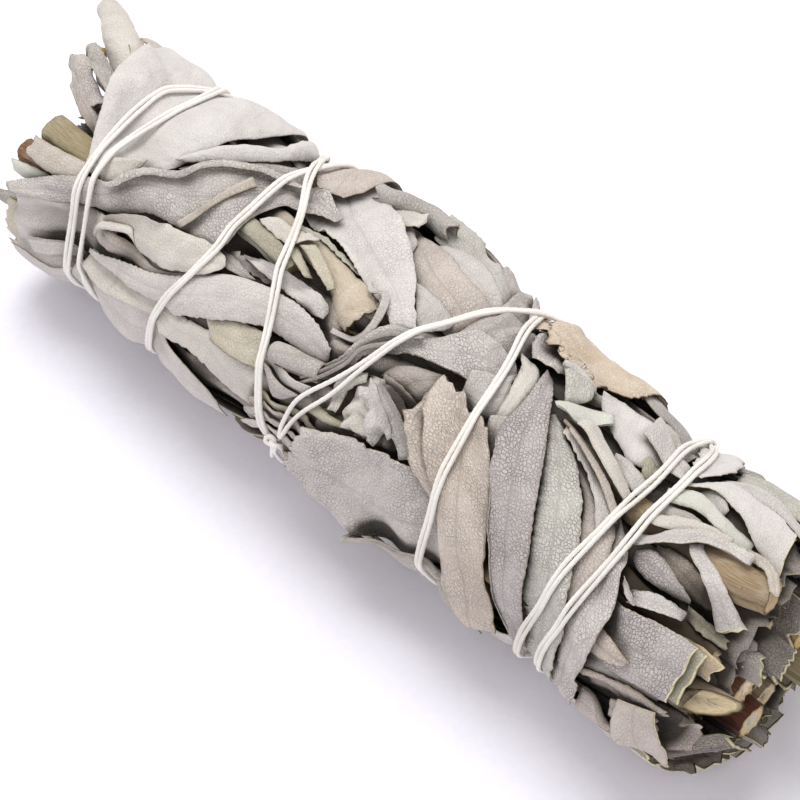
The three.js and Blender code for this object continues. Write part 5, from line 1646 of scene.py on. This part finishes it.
LEAF_KINDS = {       # slot, base, second, edge, side veins, network, stain
    "pale": ("leaf_pale", (207, 201, 196), (194, 187, 183), (201, 191, 175), 0.35, 0.45, 0.2),
    "white": ("leaf_pale", (214, 210, 206), (204, 198, 195), (208, 201, 189), 0.15, 0.2, 0.12),
    "bright": ("leaf_pale", (218, 213, 210), (208, 202, 199), (208, 200, 186), 0.4, 0.5, 0.12),
    "cream": ("leaf_pale", (210, 204, 194), (199, 191, 182), (199, 190, 171), 0.25, 0.3, 0.3),
    "veined": ("leaf_pale", (203, 196, 191), (190, 182, 178), (195, 184, 166), 0.6, 0.85, 0.2),
    "dull": ("leaf_dull", (190, 181, 175), (170, 161, 155), (178, 166, 150), 0.5, 0.65, 0.25),
    "grey": ("leaf_dull", (176, 170, 165), (156, 149, 144), (158, 148, 136), 0.4, 0.55, 0.2),
    "purple": ("leaf_dull", (185, 177, 175), (170, 161, 159), (181, 167, 151), 0.6, 1.0, 0.2),
    "pink": ("leaf_dull", (198, 186, 177), (181, 168, 159), (174, 155, 134), 0.5, 0.5, 0.35),
    "green": ("leaf_green", (192, 190, 177), (175, 172, 160), (165, 160, 130), 0.45, 0.5, 0.2),
    "grey_green": ("leaf_green", (198, 195, 185), (181, 177, 168), (165, 158, 133), 0.4, 0.55, 0.2),
    "veined_green": ("leaf_green", (200, 197, 188), (187, 183, 174), (181, 173, 149), 0.6, 0.8, 0.12),
    "mint": ("leaf_green", (208, 208, 198), (197, 197, 186), (194, 190, 168), 0.1, 0.14, 0.05),
    "straw": ("leaf_tan", (202, 194, 173), (183, 173, 150), (152, 138, 104), 0.25, 0.4, 0.3),
    "olive": ("leaf_green", (176, 170, 147), (157, 150, 127), (140, 131, 94), 0.4, 0.4, 0.25),
    "tan": ("leaf_tan", (206, 193, 181), (191, 176, 163), (158, 128, 94), 0.6, 0.75, 0.5),
    "torn_tan": ("leaf_tan", (214, 198, 176), (196, 172, 142), (104, 70, 40), 0.2, 0.4, 0.6),
    "bract": ("leaf_tan", (190, 170, 134), (168, 146, 110), (220, 202, 156), 0.3, 0.2, 0.3),
    "foot": ("leaf_tan", (212, 196, 172), (196, 177, 152), (136, 104, 74), 0.1, 0.2, 0.4),
    "beige": ("leaf_tan", (201, 191, 179), (182, 171, 157), (168, 151, 126), 0.4, 0.45, 0.35),
    "brown": ("leaf_tan", (165, 149, 134), (141, 125, 110), (120, 98, 72), 0.45, 0.5, 0.3),
    "pinkish_brown": ("leaf_tan", (186, 171, 161), (164, 149, 138), (146, 125, 100), 0.6, 0.55, 0.3),
    # The last three kinds are darker copies of the dull and olive leaves, painted shade for leaves deep in
    # the bunch.
    "inner": ("leaf_dull", (172, 162, 152), (146, 136, 126), (130, 119, 94), 0.4, 0.45, 0.3),
    "shaded": ("leaf_dull", (140, 129, 119), (116, 105, 96), (120, 108, 84), 0.5, 0.8, 0.3),
    "shaded_olive": ("leaf_green", (136, 131, 108), (112, 107, 86), (110, 102, 72), 0.5, 0.6, 0.3),
}
STEM_KINDS = {       # slot, skin, second colour, pale patches, cut ring, pith
    "bark": ("bark", (112, 68, 50), (68, 38, 28), 0.15, (222, 196, 152), (204, 198, 184)),
    "stem": ("stem", (172, 155, 132), (140, 121, 99), 0.3, (220, 202, 164), (206, 190, 160)),
    "knotty_stem": ("stem", (176, 157, 130), (144, 121, 92), 0.25, (208, 184, 144), (190, 166, 128)),
    "pale_stem": ("stem", (212, 202, 183), (196, 181, 160), 0.5, (190, 166, 138), (84, 64, 46)),
    "olive_stem": ("stem", (176, 163, 133), (143, 130, 100), 0.30, (214, 204, 160), (222, 214, 184)),
    "rough_stem": ("stem", (168, 136, 104), (112, 78, 54), 0.3, (206, 180, 140), (150, 118, 84)),
    "brown_stem": ("stem", (134, 96, 70), (96, 62, 44), 0.15, (214, 188, 146), (232, 218, 192)),
    "tan_stem": ("stem", (184, 160, 126), (148, 122, 90), 0.25, (220, 198, 162), (226, 206, 176)),
    "golden_stem": ("stem", (198, 168, 110), (164, 130, 76), 0.15, (214, 184, 122), (228, 212, 174)),
}


def make_materials():
    """For each kind: its slot, the look of its outside and the look of its rim or cut."""
    made = {}
    for name, (slot, base, second, edge, veins, network, stain) in LEAF_KINDS.items():
        leaf_material = leaf_finish(f"leaf_{name}", base, second, edge, veins, network, stain)
        made[name] = (slot, leaf_material, rim_finish(f"leaf_{name}_edge", edge, (150, 136, 104)))
    for name, (slot, base, second, patches, ring, pith) in STEM_KINDS.items():
        skin = stem_finish(f"skin_{name}", base, second, patches)
        made[name] = (slot, skin, cut_finish(f"cut_{name}", ring, pith))
    cut_edge = rim_finish("leaf_cut_edge", (226, 216, 180), (168, 160, 110))
    made["cut_edge"] = ("leaf_green", cut_edge, cut_edge)
    cotton = cotton_finish()
    made["cotton"] = ("cotton", cotton, cotton)
    return made


# ---------------------------------------------------------------- putting the pieces in the frame

def dress(obj, node, kind, materials, edge=None):
    """Gives a piece its materials and its body, and hides the CAD piece whose place it takes."""
    slot, first, second = materials[kind]
    second = materials[edge][1] if edge else second
    obj.data.materials.append(first)
    obj.data.materials.append(second)
    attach(obj, "root")
    if node:
        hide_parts(node)


def underneath(parts):
    """1 on the lower face of each leaf and 0 on its upper face, for the painted shadow on the rims; each
    part lists its lower face first.
    """
    halves = [len(part[0]) // 2 for part in parts]
    return np.concatenate([np.repeat((1.0, 0.0), half) for half in halves])


def put_leaves(pressing, materials):
    """The laid pieces, pressed into their place."""
    for piece in laid:
        parts, depths = [], []
        for plan, radius, faces, uv, margin, kind in piece.parts:
            depths.append(pressing.depth(plan, radius))
            points = place(plan[:, 0], plan[:, 1] / ARC, pressing.pressed(plan, radius))
            parts.append((points, faces, uv, margin, kind))
        obj = joined(piece.name, parts)
        # How deep each place lies, read by the painted shade.
        add_value(obj, "depth", np.concatenate(depths))
        add_value(obj, "under", underneath(piece.parts))
        dress(obj, piece.node, piece.colour, materials, piece.edge)


def put_stems(pressing, materials):
    """The side stems, pressed into their place with the leaves, and the main ones as they are."""
    for stem in stems:
        part = stem.part
        if len(part) == 4:            # a laid stem, which has no mesh yet
            plan, centre, diameters, shape = part
            half = 0.5 * spread(diameters, len(plan))
            middle = pressing.pressed(plan, centre + half) - half
            path = place(plan[:, 0], plan[:, 1] / ARC, middle)
            # How deep the stem lies, for the painted shade.
            deep = pressing.depth(plan, centre + half)
            part = stem_part(path, diameters, **shape)
            if path[-1, 0] > path[0, 0]:
                deep = np.interp(part[0][:, 0], path[:, 0], deep)
            else:
                deep = deep.mean()
        else:
            # Painted shade: a main stem darkens further in from its cut end.
            deep = np.maximum(0.2 * (part[0][:, 0].max() - 0.003 - part[0][:, 0]) / MM, 0)
        obj = new_object(stem.name, *part)
        add_value(obj, "depth", np.broadcast_to(deep, len(part[0])))
        dress(obj, stem.node, stem.colour, materials)


def put_loose_ends(materials):
    """The leaves and rolls that stand free of the laid ones."""
    for name, node, kind, part, depth, edge in loose_ends:
        obj = joined(name, [part])
        add_value(obj, "depth", depth)
        add_value(obj, "under", underneath([part]))
        dress(obj, node, kind, materials, edge)


lay_bunch()
pressing = Pressing()
materials = make_materials()
put_leaves(pressing, materials)
put_stems(pressing, materials)
put_loose_ends(materials)
dress(tie_string(pressing), "tie_string", "cotton", materials)


# ---------------------------------------------------------------- table, light and camera

TABLE_HALF = 2.0          # m
LIGHTS_AIM = (0, 0, 0.01)       # m


def floor():
    """A plain pale table."""
    points = [(x * TABLE_HALF, y * TABLE_HALF, 0) for x, y in ((-1, -1), (1, -1), (1, 1), (-1, 1))]
    obj = new_object("table", points, [(0, 1, 2, 3)], [point[:2] for point in points], smooth=False)
    finish = Finish("table_paper", 0.7)
    node = finish.nodes.new("ShaderNodeTexCoord")
    grain = finish.noise(node.outputs["Object"], 900, 3, 0.6)
    colour = finish.blend(finish.band(grain, 0.3, 0.7), linear((248, 246, 255)), linear((245, 243, 253)))
    obj.data.materials.append(finish.made(colour, finish.bump(grain, 0.0001, 0.15)))


def soft_light(name, place_at, size, power, colour):
    """A round area light in metres and watts, aimed at the bunch."""
    data = bpy.data.lights.new(name, "AREA")
    data.shape = "DISK"
    data.size = size
    data.energy = power
    data.color = colour
    obj = bpy.data.objects.new(name, data)
    obj.location = place_at
    obj.rotation_mode = "QUATERNION"
    obj.rotation_quaternion = (Vector(LIGHTS_AIM) - Vector(place_at)).to_track_quat("-Z", "Y")
    bpy.context.scene.collection.objects.link(obj)


def surroundings():
    """Soft studio light from all round, from above and from the front."""
    world = bpy.data.worlds.new("white_studio")
    world.use_nodes = True
    background = world.node_tree.nodes["Background"]
    background.inputs["Color"].default_value = (1.0, 0.985, 0.975, 1.0)
    background.inputs["Strength"].default_value = 0.66
    bpy.context.scene.world = world
    soft_light("overhead_softbox", (-0.22, 0.16, 0.80), size=0.60, power=4.75, colour=(1.0, 0.99, 0.98))
    soft_light("front_fill", (0.30, -0.70, 0.45), size=0.7, power=1.2, colour=(0.98, 0.98, 1.0))
    bpy.context.scene.view_settings.view_transform = "Standard"


CAMERA_TURN = 45.3        # degrees, from looking along +Y
CAMERA_RISE = 50.3        # degrees above the table
CAMERA_DISTANCE = 0.3137  # m
CAMERA_AIM = 0.008        # m, along the bunch from its middle
CAMERA_LENS = 120         # mm
CAMERA_FILM = 36          # mm
LOOK_ASIDE = 0.00588      # m, the picture's middle from the bunch's middle, to the camera's left
LOOK_UP = 0.00259         # m, the same, upwards


def camera():
    """Looks down on the bunch across its axis, at the picture's angle."""
    turn, rise = math.radians(CAMERA_TURN), math.radians(CAMERA_RISE)
    back = Vector((math.sin(turn) * math.cos(rise), -math.cos(turn) * math.cos(rise), math.sin(rise)))
    right = Vector((math.cos(turn), math.sin(turn), 0))
    up = back.cross(right)
    data = bpy.data.cameras.new("camera")
    data.lens, data.sensor_width = CAMERA_LENS, CAMERA_FILM
    data.clip_start, data.clip_end = 0.01, 20
    obj = bpy.data.objects.new("camera", data)
    obj.matrix_world = Matrix((right, up, back)).transposed().to_4x4()
    middle = Vector((CAMERA_AIM, 0, AXIS_HEIGHT * MM))
    obj.location = middle + back * CAMERA_DISTANCE - right * LOOK_ASIDE + up * LOOK_UP
    bpy.context.scene.collection.objects.link(obj)
    bpy.context.scene.camera = obj


floor()
surroundings()
camera()
